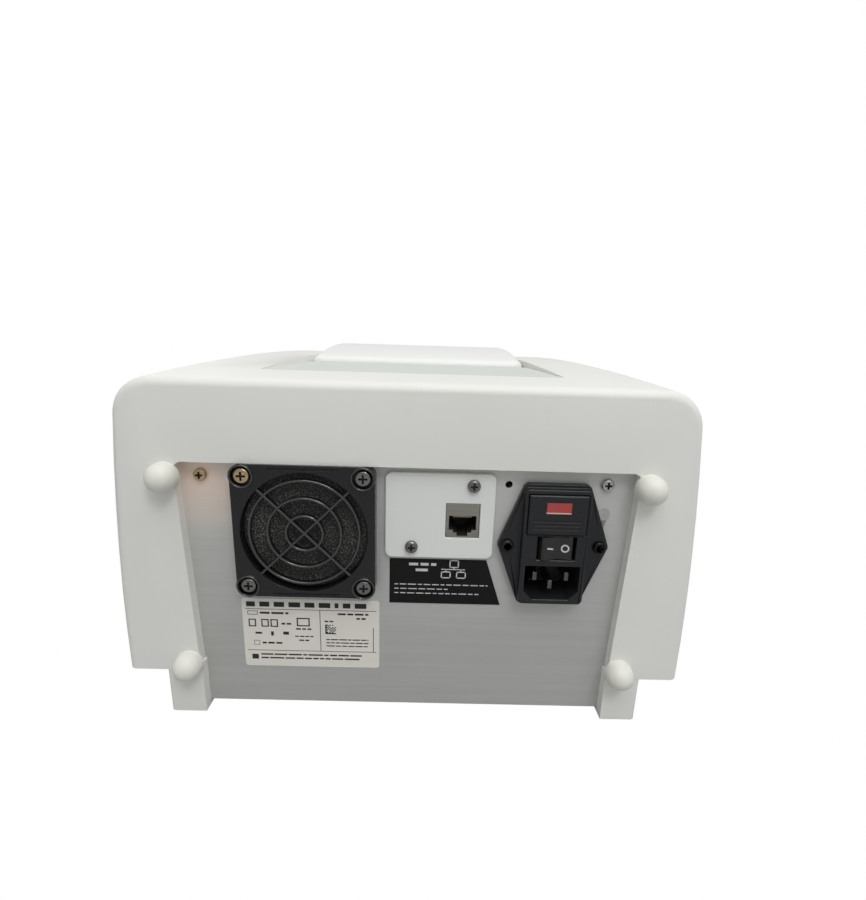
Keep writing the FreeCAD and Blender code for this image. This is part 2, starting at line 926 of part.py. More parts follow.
def make_pouch_bay():
    flange_half = d.bay_width / 2 + d.bay_overlap
    middle = (d.well_rear - d.well_front) / 2
    length = d.well_rear + d.well_front
    bay = Piece("pouch_bay").add(
        "z", flange_bottom, lip_bottom,
        outline_of(
            (-flange_half, -d.bay_front - d.bay_overlap),
            (flange_half, -d.bay_front - d.bay_overlap),
            (flange_half, d.deck_front + d.deck_thickness),
            (-flange_half, d.deck_front + d.deck_thickness),
        ),
    )
    bay.add(
        "z", well_bottom, flange_bottom,
        rectangle(0, middle, d.well_width + 2 * d.well_wall, length + 2 * d.well_wall,
                  d.well_corner + d.well_wall),
    )
    bay.cut("z", well_floor, lip_bottom, rectangle(0, middle, d.well_width, length, d.well_corner))
    bay.cut(
        "z", well_floor - d.pouch_recess, well_floor,
        rectangle(0, middle, d.pouch_width, d.pouch_length, d.well_corner / 2))
    bay.cut(
        "z", well_bottom, well_floor - d.pouch_recess,
        rectangle(0, d.optics_y, d.window_width, d.window_length, d.window_corner))
    return bay.done()


def make_pouch_guides():
    middle = (d.well_rear - d.well_front) / 2
    for side, label in ((1, "pouch_guide_left"), (-1, "pouch_guide_right")):
        guide = Piece(label).add(
            "z", well_floor, well_floor + d.guide_height,
            rectangle(
                side * (d.pouch_width + d.guide_width) / 2, middle, d.guide_width, d.pouch_length,
                d.guide_width / 3),
        )
        guide.done()


def make_base_pan():
    half = opening_foot_width / 2
    pan = Piece("base_pan").add(
        "y", -d.pan_front, panel_back,
        outline_of(
            (-half, d.panel_bottom),
            (half, d.panel_bottom),
            (half, d.panel_bottom + d.pan_flange),
            (half - d.pan_thickness, d.panel_bottom + d.pan_flange),
            (half - d.pan_thickness, pan_top),
            (-half + d.pan_thickness, pan_top),
            (-half + d.pan_thickness, d.panel_bottom + d.pan_flange),
            (-half, d.panel_bottom + d.pan_flange),
        ),
    )
    middle = (-d.pan_front - d.frame_front) / 2
    pan.cut(
        "z", d.panel_bottom, pan_top,
        *[rectangle((index - (d.pan_slot_count - 1) / 2) * d.pan_slot_pitch, middle,
                    d.pan_slot_width, d.pan_slot_length, d.pan_slot_corner)
          for index in range(int(d.pan_slot_count.value))],
    )
    return pan.done()


def make_rear_panel():
    half_foot = opening_foot_width / 2
    half = d.opening_top_width / 2 + d.panel_lap
    step = d.skirt_height + d.hood_wall + d.fit_gap
    panel = Piece("rear_panel").add(
        "y", panel_back, panel_face,
        outline_of(
            (-half_foot, d.panel_bottom),
            (half_foot, d.panel_bottom),
            (half_foot, step),
            (half, step),
            (half, d.opening_height + d.panel_lap),
            (-half, d.opening_height + d.panel_lap),
            (-half, step),
            (-half_foot, step),
        ),
    )
    panel.cut(
        "y", panel_back, panel_face,
        circle_at(fan_x, fan_z, d.panel_fan_radius),
        rectangle(jack_x, jack_z, d.jack_width + 2 * d.fit_gap, d.jack_height + 2 * d.fit_gap),
        rectangle(inlet_x, inlet_z, d.inlet_block_width + 2 * d.fit_gap,
                  d.inlet_block_height + 2 * d.fit_gap),
        *[circle_at(x, z, d.fan_screw_radius + d.screw_clearance) for x, z in fan_corners()],
        *[circle_at(x, z, d.small_shank_radius + d.screw_clearance)
          for x, z in plate_screw_places() + ear_places() + panel_screw_places()],
        circle_at(plate_x - d.panel_hole_side, plate_z + d.panel_hole_rise, d.panel_hole_radius),
    )
    stud_x, screw_z = panel_screw_places()[1]
    panel.add(
        "y", panel_face, panel_face + d.stud_proud,
        circle_at(stud_x, screw_z - d.stud_drop, d.stud_radius))
    return panel.done()


def fan_corners():
    reach = d.fan_pitch / 2
    return [(fan_x + a * reach, fan_z + b * reach) for a in (1, -1) for b in (1, -1)]


def plate_screw_places():
    return [
        (plate_x + d.plate_screw_shift - d.plate_screw_side, plate_z + d.plate_screw_z),
        (plate_x + d.plate_screw_shift + d.plate_screw_side, plate_z - d.plate_screw_z),
    ]


def ear_places():
    return [(inlet_x + side * d.ear_pitch / 2, inlet_z) for side in (1, -1)]


def panel_screw_places():
    height = d.opening_height - d.panel_screw_drop
    return [
        (d.opening_top_width / 2 - d.panel_screw_left_gap, height),
        (-d.opening_top_width / 2 + d.panel_screw_right_gap, height),
    ]


def cross_at(x, z, reach):
    half = d.cross_width / 2
    return outline_of(
        (x - half, z - reach), (x + half, z - reach), (x + half, z - half), (x + reach, z - half),
        (x + reach, z + half), (x + half, z + half), (x + half, z + reach), (x - half, z + reach),
        (x - half, z + half), (x - reach, z + half), (x - reach, z - half), (x - half, z - half),
    )


def make_screws(label, places, seat, head_radius, shank_radius, length):
    """Cross-head screws that share a seat: a rounded head, and a shank that goes in from it."""
    screws = Piece(label).add(
        "y", seat, seat + d.head_thickness, *[circle_at(x, z, head_radius) for x, z in places])
    crown = (seat + d.head_thickness).value
    screws.soften(d.head_thickness * 0.6, lambda edge: abs(edge.CenterOfMass.y - crown) < 0.01)
    screws.add("y", seat - length, seat, *[circle_at(x, z, shank_radius) for x, z in places])
    screws.cut(
        "y", seat + d.head_thickness - d.cross_depth, seat + d.head_thickness,
        *[cross_at(x, z, head_radius * 0.55) for x, z in places])
    return screws.done()


def make_fan_guard():
    face = panel_face + d.guard_depth
    bars_rear = face - d.guard_bar_setback
    bars_front = bars_rear - d.guard_bar_depth
    guard = Piece("fan_guard").add(
        "y", panel_face, face, rectangle(fan_x, fan_z, d.guard_width, d.guard_width, d.guard_corner))
    guard.cut("y", panel_face, face, circle_at(fan_x, fan_z, d.guard_bore_radius))
    guard.cut(
        "y", panel_face, face,
        *[circle_at(x, z, d.fan_screw_radius + d.screw_clearance) for x, z in fan_corners()])
    guard.cut(
        "y", face - d.guard_seat_depth, face,
        *[circle_at(x, z, d.guard_seat_radius) for x, z in fan_corners()])
    seam = d.guard_lid_width / 2
    for low in (-seam, seam - d.guard_groove):
        guard.cut(
            "y", face - d.guard_rim_depth, face,
            outline_of(
                (fan_x - seam / 2, fan_z + low),
                (fan_x + seam / 2, fan_z + low),
                (fan_x + seam / 2, fan_z + low + d.guard_groove),
                (fan_x - seam / 2, fan_z + low + d.guard_groove),
            ))
    for x, z in fan_corners():
        guard.add(
            "y", face, face + d.guard_rim_depth,
            circle_at(x, z, d.guard_seat_radius + d.guard_rim_width), circle_at(x, z, d.guard_seat_radius))
    rings = []
    for ring in range(1, int(d.guard_ring_count.value) + 1):
        radius = ring * d.guard_ring_pitch
        rings.append(circle_at(fan_x, fan_z, radius + d.guard_bar_width / 2))
        rings.append(circle_at(fan_x, fan_z, radius - d.guard_bar_width / 2))
    guard.add("y", bars_front, bars_rear, *rings)
    diagonal = math.sqrt(0.5)
    reach = (d.guard_bore_radius + 1) * diagonal
    half = d.guard_bar_width / 2 * diagonal
    for lean in (1, -1):
        corners = [
            (-reach + half, -reach - half), (reach + half, reach - half),
            (reach - half, reach + half), (-reach - half, -reach + half),
        ]
        if lean < 0:
            corners = [(-x, z) for x, z in reversed(corners)]
        guard.add(
            "y", bars_front, bars_rear,
            outline_of(*[(fan_x + x, fan_z + z) for x, z in corners]))
    return guard.done()


def make_fan_filter():
    pad = Piece("fan_filter").add(
        "y", panel_face, panel_face + d.filter_thickness,
        circle_at(fan_x, fan_z, d.guard_bore_radius - d.fit_gap))
    return pad.done()


def make_fan_frame():
    front = panel_back - d.fan_depth
    frame = Piece("fan_frame").add(
        "y", front, panel_back, rectangle(fan_x, fan_z, d.fan_width, d.fan_width, 4))
    frame.cut("y", front, panel_back, circle_at(fan_x, fan_z, d.fan_bore_radius))
    frame.cut(
        "y", front, panel_back,
        *[circle_at(x, z, d.fan_screw_radius + d.screw_clearance) for x, z in fan_corners()])
    frame.add("y", front, front + d.fan_boss_depth, circle_at(fan_x, fan_z, d.fan_hub_radius))
    reach = d.fan_bore_radius + 0.5
    frame.add(
        "y", front, front + d.fan_boss_depth,
        rectangle(fan_x, fan_z, 2 * reach, d.fan_strut_width))
    frame.add(
        "y", front, front + d.fan_boss_depth,
        rectangle(fan_x, fan_z, d.fan_strut_width, 2 * reach))
    frame.add(
        "y", front + d.fan_boss_depth, front + d.fan_depth * 0.7,
        circle_at(fan_x, fan_z, d.fan_shaft_radius))
    return frame.done()


def make_fan_rotor():
    """A hub on the shaft with twisted blades, each lofted from its root to its tip."""
    front = d.fan_boss_depth + d.fit_gap
    rear = d.fan_depth - 2
    rotor = Piece("fan_rotor").add("y", front, rear, circle_at(0, 0, d.fan_hub_radius))
    rotor.cut(
        "y", front, d.fan_depth * 0.7 + 2 * d.fit_gap,
        circle_at(0, 0, d.fan_shaft_radius + d.turn_gap))
    middle = (front + rear) / 2
    sections = []
    tip = d.fan_bore_radius - d.fan_tip_gap
    for radius, angle in ((d.fan_hub_radius - 2, d.fan_blade_angle + 14), (tip, d.fan_blade_angle - 8)):
        slant = math.radians(angle.value)
        half = (rear - front) * 0.42
        sheer = half * math.tan(math.radians(90) - slant)
        thick = d.fan_blade_thickness / 2
        sections.append(rotor.sketch("x", radius, [outline_of(
            (middle - half, -sheer - thick),
            (middle + half, sheer - thick),
            (middle + half, sheer + thick),
            (middle - half, -sheer + thick),
        )]))
    blade = rotor.body.newObject("PartDesign::AdditiveLoft", "blade")
    blade.Profile = sections[0]
    blade.Sections = [sections[1]]
    doc.recompute()
    ring = rotor.body.newObject("PartDesign::PolarPattern", "blades")
    ring.Originals = [blade]
    axis = [item for item in rotor.body.Origin.OriginFeatures if item.Role == "Y_Axis"][0]
    ring.Axis = (axis, [""])
    ring.Angle = 360
    bind(ring, "Occurrences", d.fan_blade_count)
    rotor.body.Tip = ring
    rotor.cut("y", 0, d.fan_depth, circle_at(0, 0, 2 * d.fan_bore_radius), circle_at(0, 0, tip))
    place(rotor.body, fan_x, panel_back - d.fan_depth, fan_z)
    return rotor.done()


def make_port_plate():
    face = panel_face + d.plate_thickness
    plate = Piece("port_plate").add(
        "y", panel_face, face,
        rectangle(plate_x, plate_z, d.plate_width, d.plate_height, d.plate_corner))
    plate.cut(
        "y", panel_face, face,
        rectangle(jack_x, jack_z, d.jack_width + 2 * d.fit_gap, d.jack_height + 2 * d.fit_gap),
        *[circle_at(x, z, d.small_shank_radius + d.screw_clearance) for x, z in plate_screw_places()])
    return plate.done()


def make_network_jack():
    face = panel_face + d.plate_thickness - d.jack_recess
    plug_top = jack_z + d.plug_rise
    plug_low = plug_top - d.plug_height
    key_low = plug_low - d.plug_key_height
    half = d.plug_width / 2
    key = d.plug_key_width / 2
    latch = d.plug_latch_width / 2
    jack = Piece("network_jack").add(
        "y", face - d.jack_depth, face, rectangle(jack_x, jack_z, d.jack_width, d.jack_height))
    jack.cut(
        "y", face - d.plug_depth, face,
        outline_of(
            (jack_x - latch, key_low - d.plug_latch_height),
            (jack_x + latch, key_low - d.plug_latch_height),
            (jack_x + latch, key_low),
            (jack_x + key, key_low),
            (jack_x + key, plug_low),
            (jack_x + half, plug_low),
            (jack_x + half, plug_top),
            (jack_x - half, plug_top),
            (jack_x - half, plug_low),
            (jack_x - key, plug_low),
            (jack_x - key, key_low),
            (jack_x - latch, key_low),
        ),
    )
    jack.done()
    contacts = Piece("jack_contacts")
    count = int(d.contact_count.value)
    back = face - d.plug_depth
    strips = []
    for index in range(count):
        x = jack_x + (index - (d.contact_count - 1) / 2) * d.contact_pitch
        strips.append(rectangle(x, plug_top - d.contact_rise / 2, d.contact_width, d.contact_rise))
    contacts.add("y", back, face - d.contact_setback, *strips)
    return contacts.done()


def make_inlet_housing():
    face = panel_face + d.inlet_flange
    proud = face + d.inlet_block_proud
    half_flat = d.inlet_flat_width / 2
    housing = Piece("inlet_housing").add(
        "y", panel_face, face,
        outline_of(
            (inlet_x - half_flat, inlet_z - d.inlet_half_height),
            (inlet_x + half_flat, inlet_z - d.inlet_half_height),
            (inlet_x + d.inlet_half_width, inlet_z),
            (inlet_x + half_flat, inlet_z + d.inlet_half_height),
            (inlet_x - half_flat, inlet_z + d.inlet_half_height),
            (inlet_x - d.inlet_half_width, inlet_z),
        ),
    )
    housing.soften(d.inlet_corner, is_lengthwise)
    housing.add(
        "y", face - d.inlet_body_depth, proud,
        rectangle(inlet_x, inlet_z, d.inlet_block_width, d.inlet_block_height, 2))
    housing.cut(
        "y", face - d.drawer_depth + d.drawer_proud - d.drawer_play, proud,
        rectangle(inlet_x, inlet_z + d.drawer_rise, d.drawer_width + 2 * d.drawer_play,
                  d.drawer_height + 2 * d.drawer_play))
    housing.cut(
        "y", proud - d.rocker_width, proud,
        rectangle(rocker_x, inlet_z + d.rocker_rise, d.rocker_width + 2 * d.rocker_play,
                  d.rocker_height + 2 * d.fit_gap))
    pivot_low = inlet_z + d.rocker_rise - d.rocker_height / 2 - d.rocker_pivot_length - d.fit_gap
    housing.cut(
        "z", pivot_low,
        pivot_low + d.rocker_height + 2 * d.rocker_pivot_length + 2 * d.fit_gap,
        circle_at(rocker_x, proud - d.rocker_depth, d.rocker_pivot_radius + d.turn_gap))
    socket_half = d.socket_width / 2
    low = inlet_z + d.socket_rise - d.socket_height / 2
    high = low + d.socket_height
    housing.cut(
        "y", proud - d.socket_depth, proud,
        outline_of(
            (inlet_x - socket_half + d.socket_chamfer, low),
            (inlet_x + socket_half - d.socket_chamfer, low),
            (inlet_x + socket_half, low + d.socket_chamfer),
            (inlet_x + socket_half, high),
            (inlet_x - socket_half, high),
            (inlet_x - socket_half, low + d.socket_chamfer),
        ),
    )
    housing.cut(
        "y", panel_face, face,
        *[circle_at(x, z, d.small_shank_radius + d.screw_clearance) for x, z in ear_places()])
    return housing.done()


def make_inlet_blades():
    proud = panel_face + d.inlet_flange + d.inlet_block_proud
    back = proud - d.socket_depth
    middle = inlet_z + d.socket_rise
    outlines = [
        rectangle(inlet_x + side * d.blade_pitch / 2, middle + d.blade_rise,
                  d.blade_thickness, d.blade_height) for side in (1, -1)]
    outlines.append(
        rectangle(inlet_x, middle - d.blade_rise, d.blade_thickness, d.blade_height))
    blades = Piece("inlet_blades").add("y", back, back + d.blade_length, *outlines)
    return blades.done()


def make_fuse_drawer():
    rear = panel_face + d.inlet_flange + d.drawer_proud
    front = rear - d.drawer_depth
    middle = inlet_z + d.drawer_rise
    drawer = Piece("fuse_drawer").add(
        "y", front, rear, rectangle(inlet_x, middle, d.drawer_width, d.drawer_height))
    pane_outline = rectangle(
        inlet_x, middle + d.window_pane_rise, d.window_pane_width, d.window_pane_height)
    drawer.soften(d.drawer_rounding, lambda edge: abs(edge.CenterOfMass.y - rear.value) < 0.01)
    drawer.cut("y", rear - d.window_pane_depth, rear, pane_outline)
    grooves = [
        rectangle(inlet_x, middle + d.drawer_groove_rise - index * d.drawer_groove_pitch,
                  d.drawer_width - d.drawer_margin, d.drawer_groove_width)
        for index in range(int(d.drawer_groove_count.value))]
    drawer.cut("y", rear - d.drawer_groove, rear, *grooves)
    fuse_places = [(inlet_x + side * d.fuse_pitch / 2, middle + d.fuse_rise) for side in (1, -1)]
    drawer.cut(
        "y", front, front + d.fuse_length + d.fit_gap,
        *[circle_at(x, z, d.fuse_radius + d.turn_gap) for x, z in fuse_places])
    drawer.done()
    pane = Piece("drawer_window").add(
        "y", rear - d.window_pane_depth, rear + d.window_pane_proud, pane_outline)
    pane.done()
    fuses = Piece("fuses").add(
        "y", front + d.fit_gap, front + d.fuse_length,
        *[circle_at(x, z, d.fuse_radius) for x, z in fuse_places])
    return fuses.done()


def make_power_rocker():
    """A see-saw key about an upright pivot. At rest its off side is pressed in."""
    low = -d.rocker_height / 2
    reach = d.rocker_width / 2
    crest = d.rocker_depth + d.rocker_crest
    wing = square_root(reach * reach - crest * crest)
    foot = square_root(reach * reach - d.rocker_skirt * d.rocker_skirt)
    rocker = Piece("power_rocker").add(
        "z", low, -low,
        outline_of(
            (-foot, -d.rocker_skirt),
            (foot, -d.rocker_skirt, reach),
            (wing, crest),
            (0, d.rocker_depth - d.rocker_valley),
            (-wing, crest, reach),
        ),
    )
    rocker.add(
        "z", low - d.rocker_pivot_length, -low + d.rocker_pivot_length,
        circle_at(0, 0, d.rocker_pivot_radius))
    made = rocker.body
    proud = panel_face + d.inlet_flange + d.inlet_block_proud
    made.Placement = Placement(Vector(), Rotation(Vector(0, 0, 1), d.rocker_tilt.value))
    place(made, rocker_x, proud - d.rocker_depth, inlet_z + d.rocker_rise)
    return rocker.done()


def make_labels():
    white = Piece("white_label").add(
        "y", panel_face, panel_face + d.label_thickness,
        rectangle(
            fan_x,
            fan_z - d.guard_width / 2 - d.white_label_gap - d.white_label_height / 2,
            d.white_label_width, d.white_label_height, d.label_corner))
    white.done()
    edge = plate_x + d.black_label_side
    top = plate_z - d.plate_height / 2 - d.black_label_gap
    foot = top - d.black_label_height
    black = Piece("black_label").add(
        "y", panel_face, panel_face + d.label_thickness,
        outline_of(
            (edge - d.black_label_foot_width, foot),
            (edge, foot),
            (edge, top),
            (edge - d.black_label_top_width, top),
        ),
    )
    return black.done()


def make_bumpers():
    rise = d.bumper_reach - d.bumper_collar
    dome = (d.bumper_radius * d.bumper_radius + rise * rise) / (2 * rise)
    number = 1
    for height, reach in (
            (d.opening_height - d.bumper_drop, d.opening_top_width / 2 + d.bumper_upper_gap),
            (d.bumper_lower, opening_foot_width / 2 + d.bumper_lower_gap)):
        for side in (1, -1):
            bumper = Piece(f"rear_bumper_{number}").spin(outline_of(
                (0, 0),
                (d.bumper_radius, 0),
                (d.bumper_radius, d.bumper_collar, dome),
                (0, d.bumper_reach),
            ))
            place(bumper.body, side * reach, rear_face, height)
            bumper.done()
            number += 1


def make_foot_pads():
    number = 1
    x = (opening_foot_width + d.rail_width) / 2
    for y in (rear_face - d.pad_inset, front_face + d.rail_front_gap + d.pad_inset):
        for x_side in (1, -1):
            pad = Piece(f"foot_pad_{number}").add("z", 0, d.pad_height, circle_at(0, 0, d.pad_radius))
            place(pad.body, x_side * x, y, 0)
            pad.done()
            number += 1


def make_inner_frame():
    """One bent sheet: a floor on the base pan, and two cheeks that carry the pouch bay."""
    half = d.frame_width / 2
    frame = Piece("inner_frame").add(
        "y", -d.frame_front, d.frame_rear,
        outline_of(
            (-half, pan_top),
            (half, pan_top),
            (half, flange_bottom),
            (half - d.frame_sheet, flange_bottom),
            (half - d.frame_sheet, pan_top + d.frame_sheet),
            (-half + d.frame_sheet, pan_top + d.frame_sheet),
            (-half + d.frame_sheet, flange_bottom),
            (-half, flange_bottom),
        ),
    )
    middle = (d.frame_rear - d.frame_front) / 2
    height = (pan_top + well_bottom) / 2
    frame.cut(
        "x", -half, half,
        *[circle_at(middle + shift * d.frame_hole_pitch, height, d.frame_hole_radius)
          for shift in (-1, 0, 1)])
    return frame.done()


def make_heaters():
    for side, label in ((1, "heater_block_left"), (-1, "heater_block_right")):
        x = side * d.heater_x
        bottom = well_bottom - d.heater_height
        block = Piece(label).add(
            "z", bottom, well_bottom, rectangle(x, d.heater_y, d.heater_width, d.heater_length))
        step = (d.heater_width - d.fin_thickness) / (d.fin_count - 1)
        first = x - d.heater_width / 2 + d.fin_thickness / 2
        fins = [rectangle(first + index * step, d.heater_y, d.fin_thickness, d.heater_length)
                for index in range(int(d.fin_count.value))]
        block.add("z", bottom - d.fin_height, bottom, *fins)
        block.done()


def make_optics():
    floor = pan_top + d.frame_sheet
    top = floor + d.optics_height
    housing = Piece("optics_housing").add(
        "z", floor, top, rectangle(0, d.optics_y, d.optics_width, d.optics_length, 4))
    housing.add("z", top, top + d.lens_tube, circle_at(0, d.optics_y, d.lens_radius + 2))
    housing.cut(
        "z", top + d.lens_tube - d.lens_glass * 2, top + d.lens_tube,
        circle_at(0, d.optics_y, d.lens_radius))
    housing.done()
    lens = Piece("optics_lens").add(
        "z", top + d.lens_tube - d.lens_glass * 2, top + d.lens_tube - d.lens_glass,
        circle_at(0, d.optics_y, d.lens_radius - d.turn_gap))
    return lens.done()


def make_manifold():
    floor = pan_top + d.frame_sheet
    block = Piece("air_manifold").add(
        "z", floor, floor + d.manifold_height,
        rectangle(0, d.manifold_y, d.manifold_width, d.manifold_length, 3))
    block.done()
    valves = Piece("manifold_valves").add(
        "z", floor + d.manifold_height, floor + d.manifold_height + d.valve_height,
        *[circle_at((index - (d.valve_count - 1) / 2) * d.valve_pitch, d.manifold_y, d.valve_radius)
          for index in range(int(d.valve_count.value))])
    return valves.done()


def make_bead_beater():
    """A small upright motor whose disc shakes the sample end of the pouch."""
    floor = pan_top + d.frame_sheet
    x = -d.frame_width / 2 + d.frame_sheet + d.motor_radius + d.motor_side_gap
    top = floor + d.motor_length + d.motor_shaft_length
    motor = Piece("bead_beater_motor").add(
        "z", floor, floor + d.motor_length, circle_at(x, d.motor_y, d.motor_radius))
    motor.add(
        "z", floor + d.motor_length, top,
        circle_at(x, d.motor_y, d.motor_shaft_radius))
    motor.done()
    start = top - d.motor_shaft_end - d.beater_thickness
    disc = Piece("beater_disc").add(
        "z", start, start + d.beater_thickness, circle_at(0, 0, d.beater_radius))
    disc.add(
        "z", start + d.beater_thickness, start + d.beater_thickness + d.beater_pin_height,
        circle_at(d.beater_radius / 2, 0, d.beater_pin_radius))
    disc.cut(
        "z", start, start + d.beater_thickness, circle_at(0, 0, d.motor_shaft_radius + d.turn_gap))
    place(disc.body, x, d.motor_y, 0)
    return disc.done()


def make_power_supply():
    supply = Piece("power_supply").add(
        "z", pan_top, pan_top + d.supply_height,
        rectangle(d.supply_x, d.supply_y, d.supply_width, d.supply_length, 2))
    return supply.done()


def make_main_board():
    half = (d.board_width / 2, d.board_length / 2)
    board = Piece("main_board").add(
        "z", d.board_height, d.board_height + d.board_thickness,
        rectangle(0, d.board_y, d.board_width, d.board_length, 3))
    board.done()
    posts = Piece("board_posts").add(
        "z", pan_top, d.board_height,
        *[circle_at(a * (half[0] - d.standoff_inset), d.board_y + b * (half[1] - d.standoff_inset),
                    d.standoff_radius)
          for a in (1, -1) for b in (1, -1)])
    return posts.done()


def make_air_pump():
    height = pan_top + d.pump_radius
    pump = Piece("air_pump").add(
        "y", d.pump_y - d.pump_length / 2, d.pump_y + d.pump_length / 2,
        circle_at(d.pump_x, height, d.pump_radius))
    pump.add(
        "z", pan_top, height,
        rectangle(d.pump_x, d.pump_y, d.pump_radius * 1.4, d.pump_length - 8))
    return pump.done()


make_hood()
make_status_light()
make_hinge_deck()
make_lid_shell()
make_lid_liner()
make_lid_magnets()
make_hinge()
make_pouch_bay()
make_pouch_guides()
make_base_pan()
make_rear_panel()
make_screws(
    "panel_screws", panel_screw_places(), panel_face,
    d.small_head_radius, d.small_shank_radius, d.small_shank_length)
make_fan_guard()
make_fan_filter()
make_fan_frame()
make_fan_rotor()
make_screws(
    "fan_screws", fan_corners(), panel_face + d.guard_depth - d.guard_seat_depth,
    d.fan_head_radius, d.fan_screw_radius, d.fan_screw_length)
make_port_plate()
make_screws(
    "port_plate_screws", plate_screw_places(), panel_face + d.plate_thickness,
    d.small_head_radius, d.small_shank_radius, d.small_shank_length)
make_network_jack()
make_inlet_housing()
make_inlet_blades()
make_screws(
    "inlet_screws", ear_places(), panel_face + d.inlet_flange,
    d.small_head_radius, d.small_shank_radius, d.small_shank_length)
make_fuse_drawer()
make_power_rocker()
make_labels()
make_bumpers()
make_foot_pads()
make_inner_frame()
make_heaters()
make_optics()
make_manifold()
make_bead_beater()
make_power_supply()
make_main_board()
make_air_pump()

doc.recompute()

# Nothing is written unless every object is sound
for item in doc.Objects:
    if "Invalid" in item.State or "Error" in item.State:
        raise RuntimeError(f"{item.Label} ({item.TypeId}) did not build")
for made in nodes:
    if made.Shape.isNull() or not made.Shape.isValid() or not made.Shape.Solids:
        raise RuntimeError(f"{made.Label} has no sound solid")

os.makedirs("parts", exist_ok=True)
for made in nodes:
    made.Shape.exportStep(f"parts/{made.Label}.step")
    limits = made.Shape.BoundBox
    print(f"{made.Label}: {len(made.Shape.Solids)} solids, {made.Shape.Volume:.0f} mm3, "
          f"Z {limits.ZMin:.1f} to {limits.ZMax:.1f}")
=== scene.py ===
import json
import math
import random

import bmesh
import bpy
from mathutils import Matrix, Vector


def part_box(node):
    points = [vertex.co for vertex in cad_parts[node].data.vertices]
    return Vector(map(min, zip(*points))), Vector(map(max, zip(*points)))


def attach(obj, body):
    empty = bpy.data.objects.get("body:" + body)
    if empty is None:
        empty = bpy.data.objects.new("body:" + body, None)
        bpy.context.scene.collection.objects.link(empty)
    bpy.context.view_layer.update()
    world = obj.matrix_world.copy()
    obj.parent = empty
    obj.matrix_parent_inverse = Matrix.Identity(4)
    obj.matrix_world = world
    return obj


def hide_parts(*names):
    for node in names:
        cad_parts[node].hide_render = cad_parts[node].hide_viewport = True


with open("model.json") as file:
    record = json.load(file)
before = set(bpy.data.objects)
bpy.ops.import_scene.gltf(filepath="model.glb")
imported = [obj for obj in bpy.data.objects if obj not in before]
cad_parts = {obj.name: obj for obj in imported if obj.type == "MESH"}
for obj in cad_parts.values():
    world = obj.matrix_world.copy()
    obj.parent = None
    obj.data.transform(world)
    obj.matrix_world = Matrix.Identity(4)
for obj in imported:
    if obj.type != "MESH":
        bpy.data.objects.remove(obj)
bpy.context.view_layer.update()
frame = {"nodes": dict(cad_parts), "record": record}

MM = 0.001

# Every length below is in mm and every angle in degrees, where nothing else is said.

# Camera, from the photograph's own perspective
FRAME_LONG_SIDE = 900
FOCAL_PIXELS = 480.0
CAMERA_PLACE = (-7.5, 377.0, 179.7)
CAMERA_YAW = -0.70
CAMERA_PITCH = 14.3
CAMERA_ROLL = 1.74
SENSOR_WIDTH = 36.0
NEAR_CLIP = 5.0

# Floor, sky and lamps: reach, places and sizes in metres, power in watts
FLOOR_REACH = 6.0
FLOOR_COLOUR = (0.42, 0.42, 0.42, 1)
SKY_COLOUR = (0.985, 0.99, 1.0, 1)
SKY_FOOT = -0.1
SKY_TOP = 0.9
SKY_LOW = 0.15
SKY_HIGH = 0.76
LAMPS = (
    ("ceiling light", (-0.15, 0.65, 1.4), (0, 0.1, 0.1), (1.2, 0.7), 8.0),
    ("room light", (-1.1, 1.3, 0.8), (0, 0.18, 0.08), (0.9, 0.9), 0.8),
    ("window light", (-0.35, 0.95, 1.15), (0, 0.18, 0.1), (0.28, 0.28), 3.2),
    ("far light", (1.2, -1.2, 0.9), (0, 0, 0.1), (1.2, 1.0), 3.0),
)

# Meshes
MERGE_REACH = 0.001
FLAT_ANGLE = 1.0
SMOOTH_ANGLE = 35.0
BEAD_SMOOTH_ANGLE = 60.0
EDGE_STEPS = 3

# Rear sheet: a painted warm glare in its corner, a painted reflection that pales it towards its
# top, and the bare stud
GLARE_PLACE = (88.0, 182.5, 117.0)
GLARE_CORE = 2.0
GLARE_REACH = 30.0
GLARE_STRENGTH = 0.80
GLARE_COLOUR = (1.0, 0.80, 0.66, 1)
REFLECTION_FOOT = 45.0
REFLECTION_TOP = 122.0
REFLECTION_STRENGTH = 0.7
REFLECTION_COLOUR = (0.72, 0.73, 0.70, 1)
STUD_PLACE = (-84.7, 103.4)
STUD_RADIUS = 2.95

# Network jack: its dark mouth inside the tinned rim
JACK_RIM = 0.5
JACK_MOUTH_HALF = 6.2

# Print on the labels and marks on the rocker
INK_THICKNESS = 0.03
INK_SINK = 0.05
CODE_CELLS = 8
CODE_CELL = 0.62
CODE_PLACE = (37.6, 12.8)
CODE_SHARE = 0.8
ROCKER_TILT = 6.0
ROCKER_SLOPE = 13.68
ROCKER_HEIGHT = 3.6
ROCKER_PIVOT = 184.0
MARK_PLACE = 3.3
DASH_HALF_LENGTH = 1.5
DASH_HALF_HEIGHT = 0.35
DASH_LEAN = -12.0
RING_BORE = 1.15
RING_RADIUS = 1.8
RING_MARK_STEPS = 40

# Crosses in the screw heads
RECESS_DEPTH = 0.15
RECESS_REACH = 1.6
RECESS_RADIUS = 2.1

# Beads on the fan guard
RING_STEPS = 80
SECTION_STEPS = 12
GUARD_RING_PITCH = 7.8
GUARD_BEAD = 0.60
GUARD_BORE = 27.0
BEAD_SINK = 1.25
FAN_HOLE_HALF = 25.0
SEAT_RIM_RADIUS = 4.7
SEAT_BEAD = 0.38
SEAT_BEAD_SINK = 0.1

# Knots of the filter foam
KNOT_MARGIN = 1.6
KNOTS_ACROSS = 60
KNOT_RADIUS = 0.34
KNOT_SCATTER = 0.42
KNOT_RISE = 0.3
